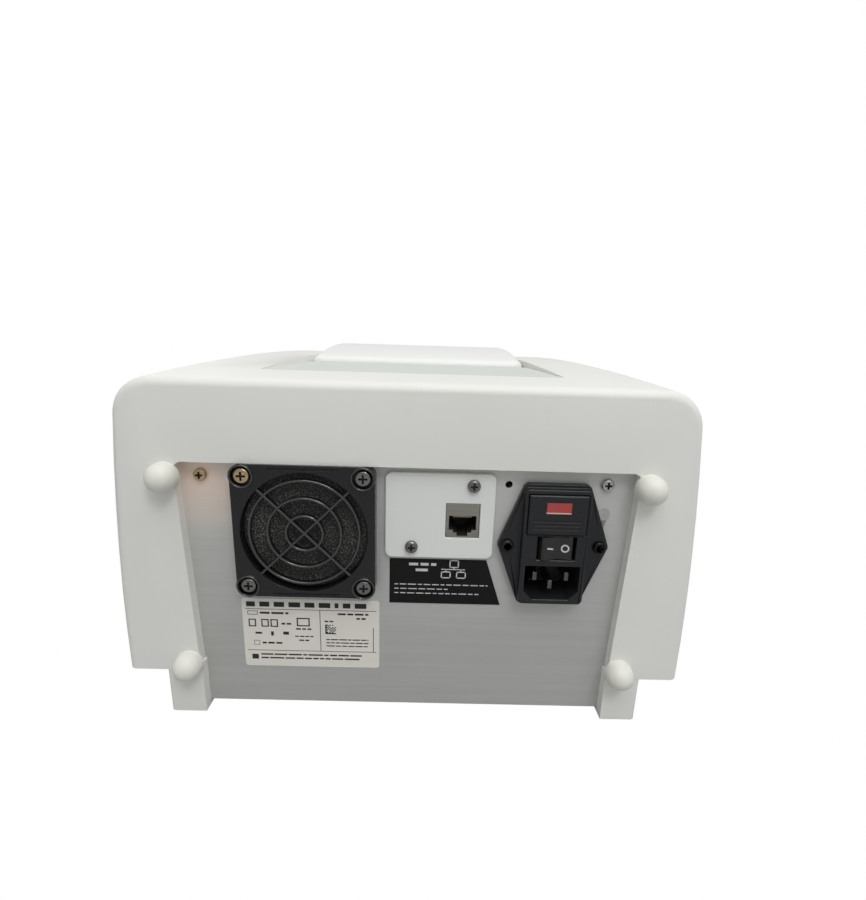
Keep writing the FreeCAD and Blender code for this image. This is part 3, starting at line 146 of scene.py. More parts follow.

# Painted highlight along the lower edge of the red window
RIM_DEPTH = 0.4
RIM_OVERLAP = 0.02
RIM_RISE = 0.03
RIM_HEIGHT = 0.55


def make_camera():
    data = bpy.data.cameras.new("camera")
    data.sensor_width = SENSOR_WIDTH
    data.lens = FOCAL_PIXELS / FRAME_LONG_SIDE * SENSOR_WIDTH
    data.clip_start = NEAR_CLIP * MM
    camera = bpy.data.objects.new("camera", data)
    bpy.context.collection.objects.link(camera)
    facing = Matrix(((-1, 0, 0), (0, 0, -1), (0, -1, 0)))
    turn = (
        Matrix.Rotation(math.radians(CAMERA_ROLL), 3, "Z")
        @ Matrix.Rotation(math.radians(CAMERA_PITCH), 3, "X")
        @ Matrix.Rotation(math.radians(CAMERA_YAW), 3, "Y")
        @ facing
    )
    axes = (Matrix.Diagonal((1, -1, -1)) @ turn).transposed().to_4x4()
    camera.matrix_world = Matrix.Translation(Vector(CAMERA_PLACE) * MM) @ axes
    bpy.context.scene.camera = camera


# Node tools

def new_group(name, inputs, outputs):
    """A shader node group with named sockets, given as (name, kind, default)."""
    tree = bpy.data.node_groups.new(name, "ShaderNodeTree")
    for label, kind, default in inputs:
        socket = tree.interface.new_socket(label, in_out="INPUT", socket_type=kind)
        socket.default_value = default
    for label, kind in outputs:
        tree.interface.new_socket(label, in_out="OUTPUT", socket_type=kind)
    start = tree.nodes.new("NodeGroupInput")
    end = tree.nodes.new("NodeGroupOutput")
    return tree, start, end


def noise(tree, place, scale, detail=3.0, roughness=0.5):
    made = tree.nodes.new("ShaderNodeTexNoise")
    made.inputs["Scale"].default_value = scale
    made.inputs["Detail"].default_value = detail
    made.inputs["Roughness"].default_value = roughness
    tree.links.new(place, made.inputs["Vector"])
    return made


def stretch(tree, place, scale):
    made = tree.nodes.new("ShaderNodeMapping")
    made.inputs["Scale"].default_value = scale
    tree.links.new(place, made.inputs["Vector"])
    return made.outputs["Vector"]


def mix_colour(tree, factor, first, second):
    """Mixes two colours, each given as a socket or as a plain colour."""
    made = tree.nodes.new("ShaderNodeMix")
    made.data_type = "RGBA"
    sockets = [made.inputs[0], made.inputs[6], made.inputs[7]]
    for socket, value in zip(sockets, (factor, first, second)):
        if isinstance(value, bpy.types.NodeSocket):
            tree.links.new(value, socket)
        else:
            socket.default_value = value
    return made.outputs[2]


def remap(tree, value, low, high, to_low, to_high):
    made = tree.nodes.new("ShaderNodeMapRange")
    tree.links.new(value, made.inputs["Value"])
    ends = {"From Min": low, "From Max": high, "To Min": to_low, "To Max": to_high}
    for label, number in ends.items():
        made.inputs[label].default_value = number
    return made.outputs["Result"]


def make_moulded_grain():
    """The fine spark-eroded grain of a moulding, as a normal and a mask of its hollows."""
    tree, start, end = new_group(
        "moulded grain",
        [("Vector", "NodeSocketVector", (0, 0, 0)), ("Scale", "NodeSocketFloat", 1800.0),
         ("Depth", "NodeSocketFloat", 0.15)],
        [("Normal", "NodeSocketVector"), ("Mask", "NodeSocketFloat")],
    )
    fine = noise(tree, start.outputs["Vector"], 1800, 2.0, 0.6)
    tree.links.new(start.outputs["Scale"], fine.inputs["Scale"])
    bump = tree.nodes.new("ShaderNodeBump")
    bump.inputs["Distance"].default_value = 0.0002
    tree.links.new(start.outputs["Depth"], bump.inputs["Strength"])
    tree.links.new(fine.outputs["Fac"], bump.inputs["Height"])
    tree.links.new(bump.outputs["Normal"], end.inputs["Normal"])
    tree.links.new(fine.outputs["Fac"], end.inputs["Mask"])
    return tree


def make_soiling():
    """Slow changes of tone over a surface, with a little dust in patches."""
    tree, start, end = new_group(
        "soiling",
        [("Vector", "NodeSocketVector", (0, 0, 0)), ("Colour", "NodeSocketColor", (1, 1, 1, 1)),
         ("Soil", "NodeSocketColor", (0.6, 0.57, 0.48, 1)), ("Amount", "NodeSocketFloat", 0.2)],
        [("Colour", "NodeSocketColor")],
    )
    broad = noise(tree, start.outputs["Vector"], 9.0, 4.0, 0.6)
    patch = remap(tree, broad.outputs["Fac"], 0.42, 0.72, 0.0, 1.0)
    speck = noise(tree, start.outputs["Vector"], 420.0, 2.0, 0.5)
    dots = remap(tree, speck.outputs["Fac"], 0.66, 0.74, 0.0, 0.5)
    both = tree.nodes.new("ShaderNodeMath")
    both.operation = "MAXIMUM"
    tree.links.new(patch, both.inputs[0])
    tree.links.new(dots, both.inputs[1])
    scaled = tree.nodes.new("ShaderNodeMath")
    scaled.operation = "MULTIPLY"
    tree.links.new(both.outputs[0], scaled.inputs[0])
    tree.links.new(start.outputs["Amount"], scaled.inputs[1])
    colour = mix_colour(tree, scaled.outputs[0], start.outputs["Colour"], start.outputs["Soil"])
    tree.links.new(colour, end.inputs["Colour"])
    return tree


def make_brushing():
    """Long fine scratches along X, as a tone and a normal."""
    tree, start, end = new_group(
        "brushing",
        [("Vector", "NodeSocketVector", (0, 0, 0)), ("Depth", "NodeSocketFloat", 0.1)],
        [("Normal", "NodeSocketVector"), ("Tone", "NodeSocketFloat")],
    )
    fine = noise(tree, stretch(tree, start.outputs["Vector"], (12, 900, 900)), 1.0, 4.0, 0.7)
    long = noise(tree, stretch(tree, start.outputs["Vector"], (3, 160, 160)), 1.0, 3.0, 0.6)
    joined = tree.nodes.new("ShaderNodeMath")
    joined.operation = "ADD"
    tree.links.new(fine.outputs["Fac"], joined.inputs[0])
    tree.links.new(long.outputs["Fac"], joined.inputs[1])
    bump = tree.nodes.new("ShaderNodeBump")
    bump.inputs["Distance"].default_value = 0.0001
    tree.links.new(start.outputs["Depth"], bump.inputs["Strength"])
    tree.links.new(joined.outputs[0], bump.inputs["Height"])
    tree.links.new(bump.outputs["Normal"], end.inputs["Normal"])
    tree.links.new(remap(tree, joined.outputs[0], 0.6, 1.4, 0.0, 1.0), end.inputs["Tone"])
    return tree


GRAIN = make_moulded_grain()
SOILING = make_soiling()
BRUSHING = make_brushing()


def use_group(tree, group, place, **values):
    made = tree.nodes.new("ShaderNodeGroup")
    made.node_tree = group
    tree.links.new(place, made.inputs["Vector"])
    for label, value in values.items():
        made.inputs[label].default_value = value
    return made


def start_material(name, roughness, **settings):
    """A material with its shader and the object coordinates that its patterns follow."""
    material = bpy.data.materials.new(name)
    material.use_nodes = True
    tree = material.node_tree
    shader = tree.nodes["Principled BSDF"]
    shader.inputs["Roughness"].default_value = roughness
    for label, value in settings.items():
        shader.inputs[label.replace("_", " ")].default_value = value
    place = tree.nodes.new("ShaderNodeTexCoord").outputs["Object"]
    return material, tree, shader, place


def plastic(name, colour, roughness, grain=0.15, scale=1800.0, soil=0.15,
            soil_colour=(0.55, 0.52, 0.44, 1), **settings):
    """A moulded plastic or rubber: grain in the surface, and slow changes of tone."""
    material, tree, shader, place = start_material(name, roughness, **settings)
    skin = use_group(tree, GRAIN, place, Scale=scale, Depth=grain)
    tone = use_group(tree, SOILING, place, Colour=(*colour, 1), Soil=soil_colour, Amount=soil)
    tree.links.new(skin.outputs["Normal"], shader.inputs["Normal"])
    tree.links.new(tone.outputs["Colour"], shader.inputs["Base Color"])
    rough = remap(tree, skin.outputs["Mask"], 0.3, 0.7, roughness - 0.06, roughness + 0.06)
    tree.links.new(rough, shader.inputs["Roughness"])
    return material


def metal(name, colour, roughness, metallic=1.0, depth=0.1, contrast=0.12):
    """A sheet or turned metal with brushing, a little uneven in tone."""
    material, tree, shader, place = start_material(name, roughness, Metallic=metallic)
    lines = use_group(tree, BRUSHING, place, Depth=depth)
    dark = tuple(part * (1 - contrast) for part in colour)
    light = tuple(min(1.0, part * (1 + contrast)) for part in colour)
    tone = mix_colour(tree, lines.outputs["Tone"], (*dark, 1), (*light, 1))
    soiled = use_group(tree, SOILING, place, Amount=0.12, Soil=(0.30, 0.29, 0.27, 1))
    tree.links.new(tone, soiled.inputs["Colour"])
    tree.links.new(soiled.outputs["Colour"], shader.inputs["Base Color"])
    tree.links.new(lines.outputs["Normal"], shader.inputs["Normal"])
    rough = remap(tree, lines.outputs["Tone"], 0.0, 1.0, roughness + 0.08, roughness - 0.08)
    tree.links.new(rough, shader.inputs["Roughness"])
    return material


def clear(name, colour, roughness):
    """Glass or a clear moulding, slightly uneven at its surface."""
    material, tree, shader, place = start_material(
        name, roughness, Transmission_Weight=0.85, IOR=1.5)
    skin = use_group(tree, GRAIN, place, Scale=90.0, Depth=0.05)
    tone = use_group(tree, SOILING, place, Colour=(*colour, 1), Amount=0.08)
    tree.links.new(skin.outputs["Normal"], shader.inputs["Normal"])
    tree.links.new(tone.outputs["Colour"], shader.inputs["Base Color"])
    return material


def panel_sheet():
    """The rear sheet: fine brushing, a painted warm glare round the screw in its upper corner, and
    a painted reflection paling it towards its top.
    """
    material = metal("brushed rear sheet", (0.53, 0.54, 0.52), 0.58, 0.50, 0.05, 0.05)
    tree = material.node_tree
    shader = tree.nodes["Principled BSDF"]
    place = tree.nodes.new("ShaderNodeTexCoord").outputs["Object"]
    # Painted warm glare, a reflection: warmer and paler round the screw in the upper corner
    away = tree.nodes.new("ShaderNodeVectorMath")
    away.operation = "DISTANCE"
    away.inputs[1].default_value = Vector(GLARE_PLACE) * MM
    tree.links.new(place, away.inputs[0])
    near = remap(
        tree, away.outputs["Value"], GLARE_CORE * MM, GLARE_REACH * MM, GLARE_STRENGTH, 0.0)
    plain = shader.inputs["Base Color"].links[0].from_socket
    # Painted reflection: the sheet made paler towards its top
    parts = tree.nodes.new("ShaderNodeSeparateXYZ")
    tree.links.new(place, parts.inputs[0])
    upper = remap(tree, parts.outputs["Z"], REFLECTION_FOOT * MM, REFLECTION_TOP * MM, 0.0, REFLECTION_STRENGTH)
    paler = mix_colour(tree, upper, plain, REFLECTION_COLOUR)
    tinted = mix_colour(tree, near, paler, GLARE_COLOUR)
    tree.links.new(tinted, shader.inputs["Base Color"])
    return material


MATERIALS = {
    "casing_white": plastic("warm white moulding", (0.79, 0.79, 0.75), 0.52, 0.12, 1500, 0.08),
    # The casing plastic made darker and greyer for the hinge deck: painted shade
    "deck_painted_shade": plastic("white moulding with painted shade", (0.64, 0.67, 0.62), 0.55, 0.12, 1500, 0.08),
    "lid_white": plastic("white lid moulding", (0.84, 0.845, 0.82), 0.45, 0.10, 1500, 0.06),
    "liner_grey": plastic("grey moulding", (0.42, 0.43, 0.44), 0.55, 0.15, 1500, 0.10),
    "black_plastic": plastic("black moulding", (0.008, 0.008, 0.009), 0.24, 0.10, 1300, 0.05,
                             (0.08, 0.08, 0.07, 1), Specular_IOR_Level=0.42),
    "guard_sheen": plastic("polished guard bars", (0.022, 0.022, 0.023), 0.18, 0.02, 1300, 0.03,
                           (0.08, 0.08, 0.07, 1), Specular_IOR_Level=1.0),
    "inlet_black": plastic("inlet moulding", (0.011, 0.012, 0.014), 0.32, 0.10, 1600, 0.05,
                           (0.07, 0.07, 0.07, 1), Specular_IOR_Level=0.38),
    "rocker_black": plastic("polished black key", (0.005, 0.005, 0.006), 0.16, 0.03, 900, 0.03),
    "jack_tin": metal("tinned shield", (0.36, 0.35, 0.30), 0.34, 1.0, 0.12, 0.22),
    "jack_black": plastic("jack moulding", (0.006, 0.006, 0.006), 0.40, 0.06, 1500, 0.03),
    "filter_mesh": plastic("filter foam", (0.012, 0.012, 0.012), 0.60, 0.6, 700, 0.2,
                           (0.12, 0.11, 0.10, 1)),
    "filter_knots": plastic("filter foam knots", (0.07, 0.068, 0.060), 0.22, 0.3, 900, 0.5,
                            (0.38, 0.37, 0.34, 1)),
    "panel_steel": panel_sheet(),
    "frame_sheet": metal("zinc sheet", (0.58, 0.58, 0.57), 0.40),
    "plate_paint": plastic("pale plate paint", (0.78, 0.80, 0.78), 0.42, 0.06, 900, 0.06),
    "bright_steel": metal("plated steel", (0.55, 0.55, 0.53), 0.30, 1.0, 0.04, 0.08),
    "dull_steel": metal("dull plated steel", (0.22, 0.22, 0.205), 0.30, 1.0, 0.05, 0.15),
    # Darkened plated steel for the inlet's blades: painted shade deep in the socket
    "blade_painted_shade": metal("blade steel with painted shade", (0.13, 0.13, 0.13), 0.35, 1.0, 0.05, 0.10),
    "recess_dark": metal("shaded recess", (0.03, 0.028, 0.025), 0.50, 0.8, 0.05, 0.10),
    "dark_screw": metal("black oxide steel", (0.014, 0.014, 0.016), 0.42, 1.0, 0.04, 0.1),
    "screw_yellow": metal("yellow passivated steel", (0.60, 0.45, 0.26), 0.32, 1.0, 0.04, 0.12),
    "contact_gold": metal("gold contacts", (0.62, 0.50, 0.28), 0.30, 1.0, 0.03, 0.05),
    "window_red": plastic("red window", (0.42, 0.045, 0.040), 0.22, 0.03, 900, 0.03),
    # A painted highlight for the lower edge of the red window
    "window_edge_highlight": plastic("painted window edge highlight", (0.62, 0.50, 0.47), 0.35, 0.03, 900, 0.03),
    "fuse_glass": clear("fuse glass", (0.9, 0.93, 0.93), 0.05),
    "lens_glass": clear("lens glass", (0.86, 0.90, 0.95), 0.03),
    "light_lens": plastic("pale light lens", (0.70, 0.82, 0.76), 0.20, 0.03, 900, 0.03),
    "label_white": plastic("white label film", (0.80, 0.77, 0.71), 0.36, 0.03, 600, 0.08),
    "label_black": plastic("black label film", (0.004, 0.004, 0.005), 0.42, 0.03, 600, 0.02,
                           (0.04, 0.04, 0.04, 1), Specular_IOR_Level=0.22),
    "bumper_rubber": plastic("cream rubber", (0.76, 0.755, 0.69), 0.50, 0.08, 900, 0.10),
    "foot_rubber": plastic("dark foot rubber", (0.10, 0.10, 0.10), 0.75, 0.25, 900, 0.2),
    "guide_blue": plastic("blue guide", (0.03, 0.14, 0.50), 0.35, 0.05, 1200, 0.04),
    "guide_red": plastic("red guide", (0.55, 0.04, 0.04), 0.35, 0.05, 1200, 0.04),
    "milled_aluminium": metal("milled aluminium", (0.74, 0.75, 0.76), 0.30, 1.0, 0.12, 0.08),
    "motor_metal": metal("drawn motor can", (0.48, 0.48, 0.50), 0.30, 1.0, 0.05, 0.06),
    "board_green": plastic("solder mask", (0.02, 0.17, 0.07), 0.32, 0.03, 900, 0.06),
    "ink_dark": plastic("dark label ink", (0.022, 0.021, 0.022), 0.45, 0.02, 600, 0.05,
                        (0.10, 0.10, 0.10, 1), Specular_IOR_Level=0.3),
    "ink_pale": plastic("pale label ink", (0.62, 0.62, 0.60), 0.40, 0.02, 600, 0.05),
}

slot_of = {entry["node"]: entry["material_slot"] for entry in frame["record"]["subparts"]}
body_of = {
    node: body for body, held in frame["record"]["behaviour"]["bodies"].items() for node in held
}


# Mesh tools

def new_object(name, bm, material, body, smooth_angle=SMOOTH_ANGLE):
    """Turns built mesh data into a piece that rides on a body."""
    bmesh.ops.recalc_face_normals(bm, faces=bm.faces)
    mesh = bpy.data.meshes.new(name)
    bm.to_mesh(mesh)
    bm.free()
    return dress(name, mesh, material, body, smooth_angle)


def dress(name, mesh, material, body, smooth_angle=SMOOTH_ANGLE):
    """Gives a mesh its finish and its smoothing, and lets it ride on a body under a slot."""
    mesh.materials.clear()
    mesh.materials.append(MATERIALS[material])
    mesh.polygons.foreach_set("use_smooth", [True] * len(mesh.polygons))
    mesh.set_sharp_from_angle(angle=math.radians(smooth_angle))
    made = bpy.data.objects.new(name, mesh)
    bpy.context.collection.objects.link(made)
    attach(made, body)
    return made


def merged_copy(node):
    """A node's own surface with its triangles joined, and its flat faces made whole."""
    bm = bmesh.new()
    bm.from_mesh(frame["nodes"][node].data)
    bmesh.ops.remove_doubles(bm, verts=bm.verts, dist=MERGE_REACH * MM)
    bmesh.ops.dissolve_limit(
        bm, angle_limit=math.radians(FLAT_ANGLE), verts=bm.verts, edges=bm.edges,
        use_dissolve_boundaries=False)
    return bm


def refine(node, bevel):
    """Stands a copy of a node in its place, with its hard edges broken by a width in mm."""
    bm = merged_copy(node)
    name = f"{node}_finish"
    mesh = bpy.data.meshes.new(name)
    bm.to_mesh(mesh)
    bm.free()
    made = dress(name, mesh, slot_of[node], body_of[node])
    if bevel:
        rounding = made.modifiers.new("edges", "BEVEL")
        rounding.width = bevel * MM
        rounding.segments = EDGE_STEPS
        rounding.limit_method = "ANGLE"
        rounding.angle_limit = math.radians(SMOOTH_ANGLE)
        rounding.use_clamp_overlap = node in CLAMPED
        rounding.harden_normals = True
    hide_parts(node)
    return made


def paint_nodes(names):
    """Gives the solids that stay as they are the finish of their slot."""
    for name in names:
        data = frame["nodes"][name].data
        data.materials.clear()
        data.materials.append(MATERIALS[slot_of[name]])


# Stage: camera, floor, sky and lamps

def white_for_camera(tree, plain, out):
    """Shows white to the camera and through glass, and the plain shader to all other light."""
    path = tree.nodes.new("ShaderNodeLightPath")
    seen = tree.nodes.new("ShaderNodeMath")
    seen.operation = "MAXIMUM"
    tree.links.new(path.outputs["Is Camera Ray"], seen.inputs[0])
    tree.links.new(path.outputs["Is Transmission Ray"], seen.inputs[1])
    white = tree.nodes.new("ShaderNodeEmission" if out.node.type == "OUTPUT_MATERIAL"
                           else "ShaderNodeBackground")
    white.inputs["Color"].default_value = (1, 1, 1, 1)
    white.inputs["Strength"].default_value = 1.0
    mixer = tree.nodes.new("ShaderNodeMixShader")
    tree.links.new(seen.outputs[0], mixer.inputs[0])
    tree.links.new(plain, mixer.inputs[1])
    tree.links.new(white.outputs[0], mixer.inputs[2])
    tree.links.new(mixer.outputs[0], out)


def make_stage():
    bm = bmesh.new()
    bmesh.ops.create_grid(bm, x_segments=1, y_segments=1, size=FLOOR_REACH)
    mesh = bpy.data.meshes.new("floor")
    bm.to_mesh(mesh)
    bm.free()
    floor = bpy.data.objects.new("floor", mesh)
    bpy.context.collection.objects.link(floor)
    material = bpy.data.materials.new("white floor")
    material.use_nodes = True
    tree = material.node_tree
    shader = tree.nodes["Principled BSDF"]
    shader.inputs["Base Color"].default_value = FLOOR_COLOUR
    shader.inputs["Roughness"].default_value = 0.9
    white_for_camera(tree, shader.outputs[0], tree.nodes["Material Output"].inputs["Surface"])
    mesh.materials.append(material)


def make_world():
    world = bpy.data.worlds.new("room")
    bpy.context.scene.world = world
    world.use_nodes = True
    tree = world.node_tree
    plain = tree.nodes["Background"]
    plain.inputs["Color"].default_value = SKY_COLOUR
    parts = tree.nodes.new("ShaderNodeSeparateXYZ")
    tree.links.new(tree.nodes.new("ShaderNodeTexCoord").outputs["Generated"], parts.inputs[0])
    rising = remap(tree, parts.outputs["Z"], SKY_FOOT, SKY_TOP, SKY_LOW, SKY_HIGH)
    tree.links.new(rising, plain.inputs["Strength"])
    white_for_camera(tree, plain.outputs[0], tree.nodes["World Output"].inputs["Surface"])


def make_lamp(name, place, target, size, power):
    data = bpy.data.lights.new(name, "AREA")
    data.shape = "RECTANGLE"
    data.size, data.size_y = size
    data.energy = power
    lamp = bpy.data.objects.new(name, data)
    bpy.context.collection.objects.link(lamp)
    facing = (Vector(target) - Vector(place)).to_track_quat("-Z", "Y")
    lamp.matrix_world = Matrix.Translation(place) @ facing.to_matrix().to_4x4()


bpy.context.scene.view_settings.view_transform = "Standard"
make_camera()
make_stage()
make_world()
for lamp in LAMPS:
    make_lamp(*lamp)


# Solids, dressed: the width in mm by which each one's hard edges are broken

SOFT_EDGES = {
    "hood": 0.0,
    "lid_shell": 0.0,
    "hinge_deck": 0.3,
    "rear_panel": 0.0,
    "port_plate": 0.35,
    "fan_guard": 0.22,
    "inlet_housing": 0.5,
    "fuse_drawer": 0.15,
    "power_rocker": 0.3,
    "network_jack": 0.12,
    "inlet_blades": 0.3,
    "panel_screws": 0.12,
    "fan_screws": 0.12,
    "port_plate_screws": 0.12,
    "inlet_screws": 0.12,
}

# Pieces with edges so close that their rounding has to give way
CLAMPED = ("panel_screws", "fan_screws", "port_plate_screws", "inlet_screws", "network_jack")


def in_mm(polygon):
    return polygon.center / MM


def repaint(piece, material, chosen):
    """Gives a second finish to the faces for which the test holds, by their middle in mm."""
    piece.data.materials.append(MATERIALS[material])
    index = len(piece.data.materials) - 1
    for polygon in piece.data.polygons:
        if chosen(in_mm(polygon)):
            polygon.material_index = index


def dress_nodes():
    made = {node: refine(node, bevel) for node, bevel in SOFT_EDGES.items()}
    paint_nodes([name for name in frame["nodes"] if name not in SOFT_EDGES])
    # Painted shade: the hinge deck gets the darker copy of the casing plastic
    made["hinge_deck"].data.materials[0] = MATERIALS["deck_painted_shade"]
    for node in ("fan_screws", "port_plate_screws"):
        made[node].data.materials[0] = MATERIALS["dull_steel"]
    fan = middle_of("fan_guard")
    repaint(made["fan_screws"], "screw_yellow", lambda at: at.x > fan.x and at.z > fan.z)
    repaint(made["panel_screws"], "bright_steel", lambda at: at.x < 0)
    for node in ("fan_screws", "port_plate_screws", "panel_screws"):
        shade_recesses(made[node])
    stud_x, stud_z = STUD_PLACE
    repaint(made["rear_panel"], "bright_steel",
            lambda at: math.hypot(at.x - stud_x, at.z - stud_z) < STUD_RADIUS)
    low, high = box_of("network_jack")
    repaint(
        made["network_jack"], "jack_black",
        lambda at: at.y < high.y - JACK_RIM and abs(at.x - (low.x + high.x) / 2) < JACK_MOUTH_HALF)
    # The blades get the darkened steel: painted shade deep in the socket
    made["inlet_blades"].data.materials[0] = MATERIALS["blade_painted_shade"]


def islands(mesh):
    """The faces of each separate solid in a mesh."""
    home = list(range(len(mesh.vertices)))

    def root(index):
        while home[index] != index:
            home[index] = home[home[index]]
            index = home[index]
        return index

    for polygon in mesh.polygons:
        first = root(polygon.vertices[0])
        for vertex in polygon.vertices[1:]:
            home[root(vertex)] = first
    held = {}
    for polygon in mesh.polygons:
        held.setdefault(root(polygon.vertices[0]), []).append(polygon)
    return held.values()


def shade_recesses(piece):
    """Darkens the walls and the floor of the cross cut in each screw's head."""
    mesh = piece.data
    mesh.materials.append(MATERIALS["recess_dark"])
    index = len(mesh.materials) - 1
    for faces in islands(mesh):
        points = [mesh.vertices[vertex].co / MM for face in faces for vertex in face.vertices]
        top = max(point.y for point in points)
        head = [point for point in points if point.y > top - RECESS_DEPTH]
        middle = sum(head, Vector()) / len(head)
        for face in faces:
            at = in_mm(face)
            aside = math.hypot(at.x - middle.x, at.z - middle.z)
            if top - RECESS_REACH < at.y < top - RECESS_DEPTH and aside < RECESS_RADIUS:
                face.material_index = index


def box_of(node):
    low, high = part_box(node)
    return low / MM, high / MM


def middle_of(node):
    low, high = box_of(node)
    return (low + high) / 2


# Printing on the labels: rules and boxes only

def add_plate(bm, low, high, turn=None):
    """A thin block between two corners, in mm, turned by a matrix where one is given."""
    across, deep, up = zip(low, high)
    points = [Vector((x, y, z)) for x in across for y in deep for z in up]
    if turn:
        points = [turn @ point for point in points]
    verts = [bm.verts.new(point * MM) for point in points]
    for face in (
        (0, 1, 3, 2), (4, 6, 7, 5), (0, 4, 5, 1), (2, 3, 7, 6), (0, 2, 6, 4), (1, 5, 7, 3),
    ):
        bm.faces.new([verts[index] for index in face])


def print_label(name, node, material, rules):
    """Thin printed blocks on a label, each as across, down, wide and high from its upper left."""
    low, high = box_of(node)
    bm = bmesh.new()
    for across, down, wide, tall in rules:
        add_plate(
            bm,
            (high.x - across - wide, high.y, high.z - down - tall),
            (high.x - across, high.y + INK_THICKNESS, high.z - down))
    new_object(name, bm, material, "casing")


def words(draw, across, down, wide, tall, longest=6.0, gap=None):
    """A line of print as a row of short rules of uneven length."""
    made = []
    gap = gap or tall * 0.8
    end = across + wide
    while across < end - tall:
        length = min(draw.uniform(1.6, longest), end - across)
        made.append((across, down, length, tall))
        across += length + gap
    return made


def frame_rules(across, down, wide, tall, line):
    """The four rules of an empty box."""
    return [
        (across, down, wide, line), (across, down + tall - line, wide, line),
        (across, down, line, tall), (across + wide - line, down, line, tall),
    ]


def print_white_label():
    draw = random.Random(5)
    rules = words(draw, 2.0, 1.7, 58.6, 2.5, 5.5)
    rules += [(1.4, 5.3, 59.7, 0.25), (35.2, 5.3, 0.3, 21.6)]
    rules += [(1.4, 26.9, 59.7, 0.25), (59.6, 14.0, 0.3, 13.0)]
    rules += frame_rules(2.4, 6.4, 4.6, 2.0, 0.25)
    rules += words(draw, 8.0, 6.9, 13.0, 1.0)
    rules += words(draw, 43.5, 6.8, 14.0, 0.9)
    rules += words(draw, 52.0, 9.0, 5.5, 0.9, 3.0)
    for across in (2.6, 8.4, 12.6):
        rules += frame_rules(across, 10.6, 3.4, 4.0, 0.55)
    rules += words(draw, 17.6, 12.4, 5.0, 0.9, 2.0)
    rules += frame_rules(24.6, 9.6, 6.0, 4.4, 0.6)
    rules += words(draw, 24.2, 15.0, 7.0, 0.8, 2.4)
    rules += [(5.4, 17.4, 3.0, 1.0), (12.6, 17.0, 1.2, 2.2), (18.2, 17.0, 2.6, 1.6)]
    rules += words(draw, 23.6, 19.0, 8.4, 0.6, 2.4)
    rules += words(draw, 25.4, 21.0, 5.4, 0.7, 2.4)
    rules += frame_rules(4.6, 21.8, 2.6, 2.4, 0.2)
    rules += words(draw, 8.4, 22.6, 10.0, 0.9, 3.0)
    rules += words(draw, 37.4, 10.8, 4.0, 0.7, 2.0)
    across, down = CODE_PLACE
    for row in range(CODE_CELLS):
        for column in range(CODE_CELLS):
            edge = row == CODE_CELLS - 1 or column == 0
            if edge or (row + column) % 2 and draw.random() < CODE_SHARE:
                rules.append((across + column * CODE_CELL, down + row * CODE_CELL,
                              CODE_CELL, CODE_CELL))
    for row in range(3):
        rules += words(draw, 38.0, 20.4 + row * 1.7, 19.5, 0.55, 4.0)
    rules += [(3.2, 29.2, 3.0, 2.6)]
    for row in range(2):
        rules += words(draw, 7.4, 28.8 + row * 1.9, 47.0, 0.75, 7.0)
    print_label("white_label_print", "white_label", "ink_dark", rules)


def print_black_label():
    draw = random.Random(9)
    rules = words(draw, 8.6, 1.9, 12.6, 1.3, 7.0) + words(draw, 11.6, 4.7, 5.6, 1.3, 6.0)
    rules += frame_rules(26.6, 0.2, 4.2, 3.8, 0.5)
    rules += [(28.4, 3.8, 0.5, 0.9), (23.0, 4.6, 10.6, 0.4)]
    rules += [(24.9, 4.6, 0.4, 1.2), (31.6, 4.6, 0.4, 1.2)]
    rules += frame_rules(22.9, 5.8, 4.4, 3.4, 0.5) + frame_rules(29.7, 5.8, 4.4, 3.4, 0.5)
    for row, wide in enumerate((42.0, 24.0, 38.0)):
        rules += words(draw, 2.2, 12.3 + row * 2.2, wide, 0.45, 4.0, 0.8)
    print_label("black_label_print", "black_label", "ink_pale", rules)


def mark_rocker():
    """A dash on the raised end of the key and a ring on the end that is pressed in."""
    low, high = box_of("power_rocker")
    pivot = Vector(((low.x + high.x) / 2, ROCKER_PIVOT, (low.z + high.z) / 2))
    slope = math.radians(ROCKER_SLOPE)
    tilt = Matrix.Rotation(math.radians(ROCKER_TILT), 4, "Z")
    for name, side, shape in (("dash", 1, dash_mark), ("ring", -1, ring_mark)):
        middle = tilt @ Vector((side * MARK_PLACE, ROCKER_HEIGHT + MARK_PLACE * math.tan(slope), 0))
        turn = Matrix.Translation(pivot + middle) @ tilt @ Matrix.Rotation(side * slope, 4, "Z")
        bm = bmesh.new()
        shape(bm, turn)
        new_object(f"rocker_{name}", bm, "ink_pale", "rocker")


def dash_mark(bm, turn):
    add_plate(
        bm, (-DASH_HALF_LENGTH, -INK_SINK, -DASH_HALF_HEIGHT),
        (DASH_HALF_LENGTH, INK_THICKNESS, DASH_HALF_HEIGHT),
        turn @ Matrix.Rotation(math.radians(DASH_LEAN), 4, "Y"))


def ring_mark(bm, turn):
    rows = []
    for radius, height in (
        (RING_BORE, -INK_SINK), (RING_BORE, INK_THICKNESS),
        (RING_RADIUS, INK_THICKNESS), (RING_RADIUS, -INK_SINK),
    ):
        angles = [2 * math.pi * step / RING_MARK_STEPS for step in range(RING_MARK_STEPS)]
        points = [Vector((radius * math.cos(at), height, radius * math.sin(at))) for at in angles]
        rows.append([bm.verts.new((turn @ point) * MM) for point in points])
    for row, after in zip(rows, rows[1:] + rows[:1]):
        for step in range(RING_MARK_STEPS):
            beyond = (step + 1) % RING_MARK_STEPS
            bm.faces.new((row[step], row[beyond], after[beyond], after[step]))


# Shapes that geometry nodes repeat

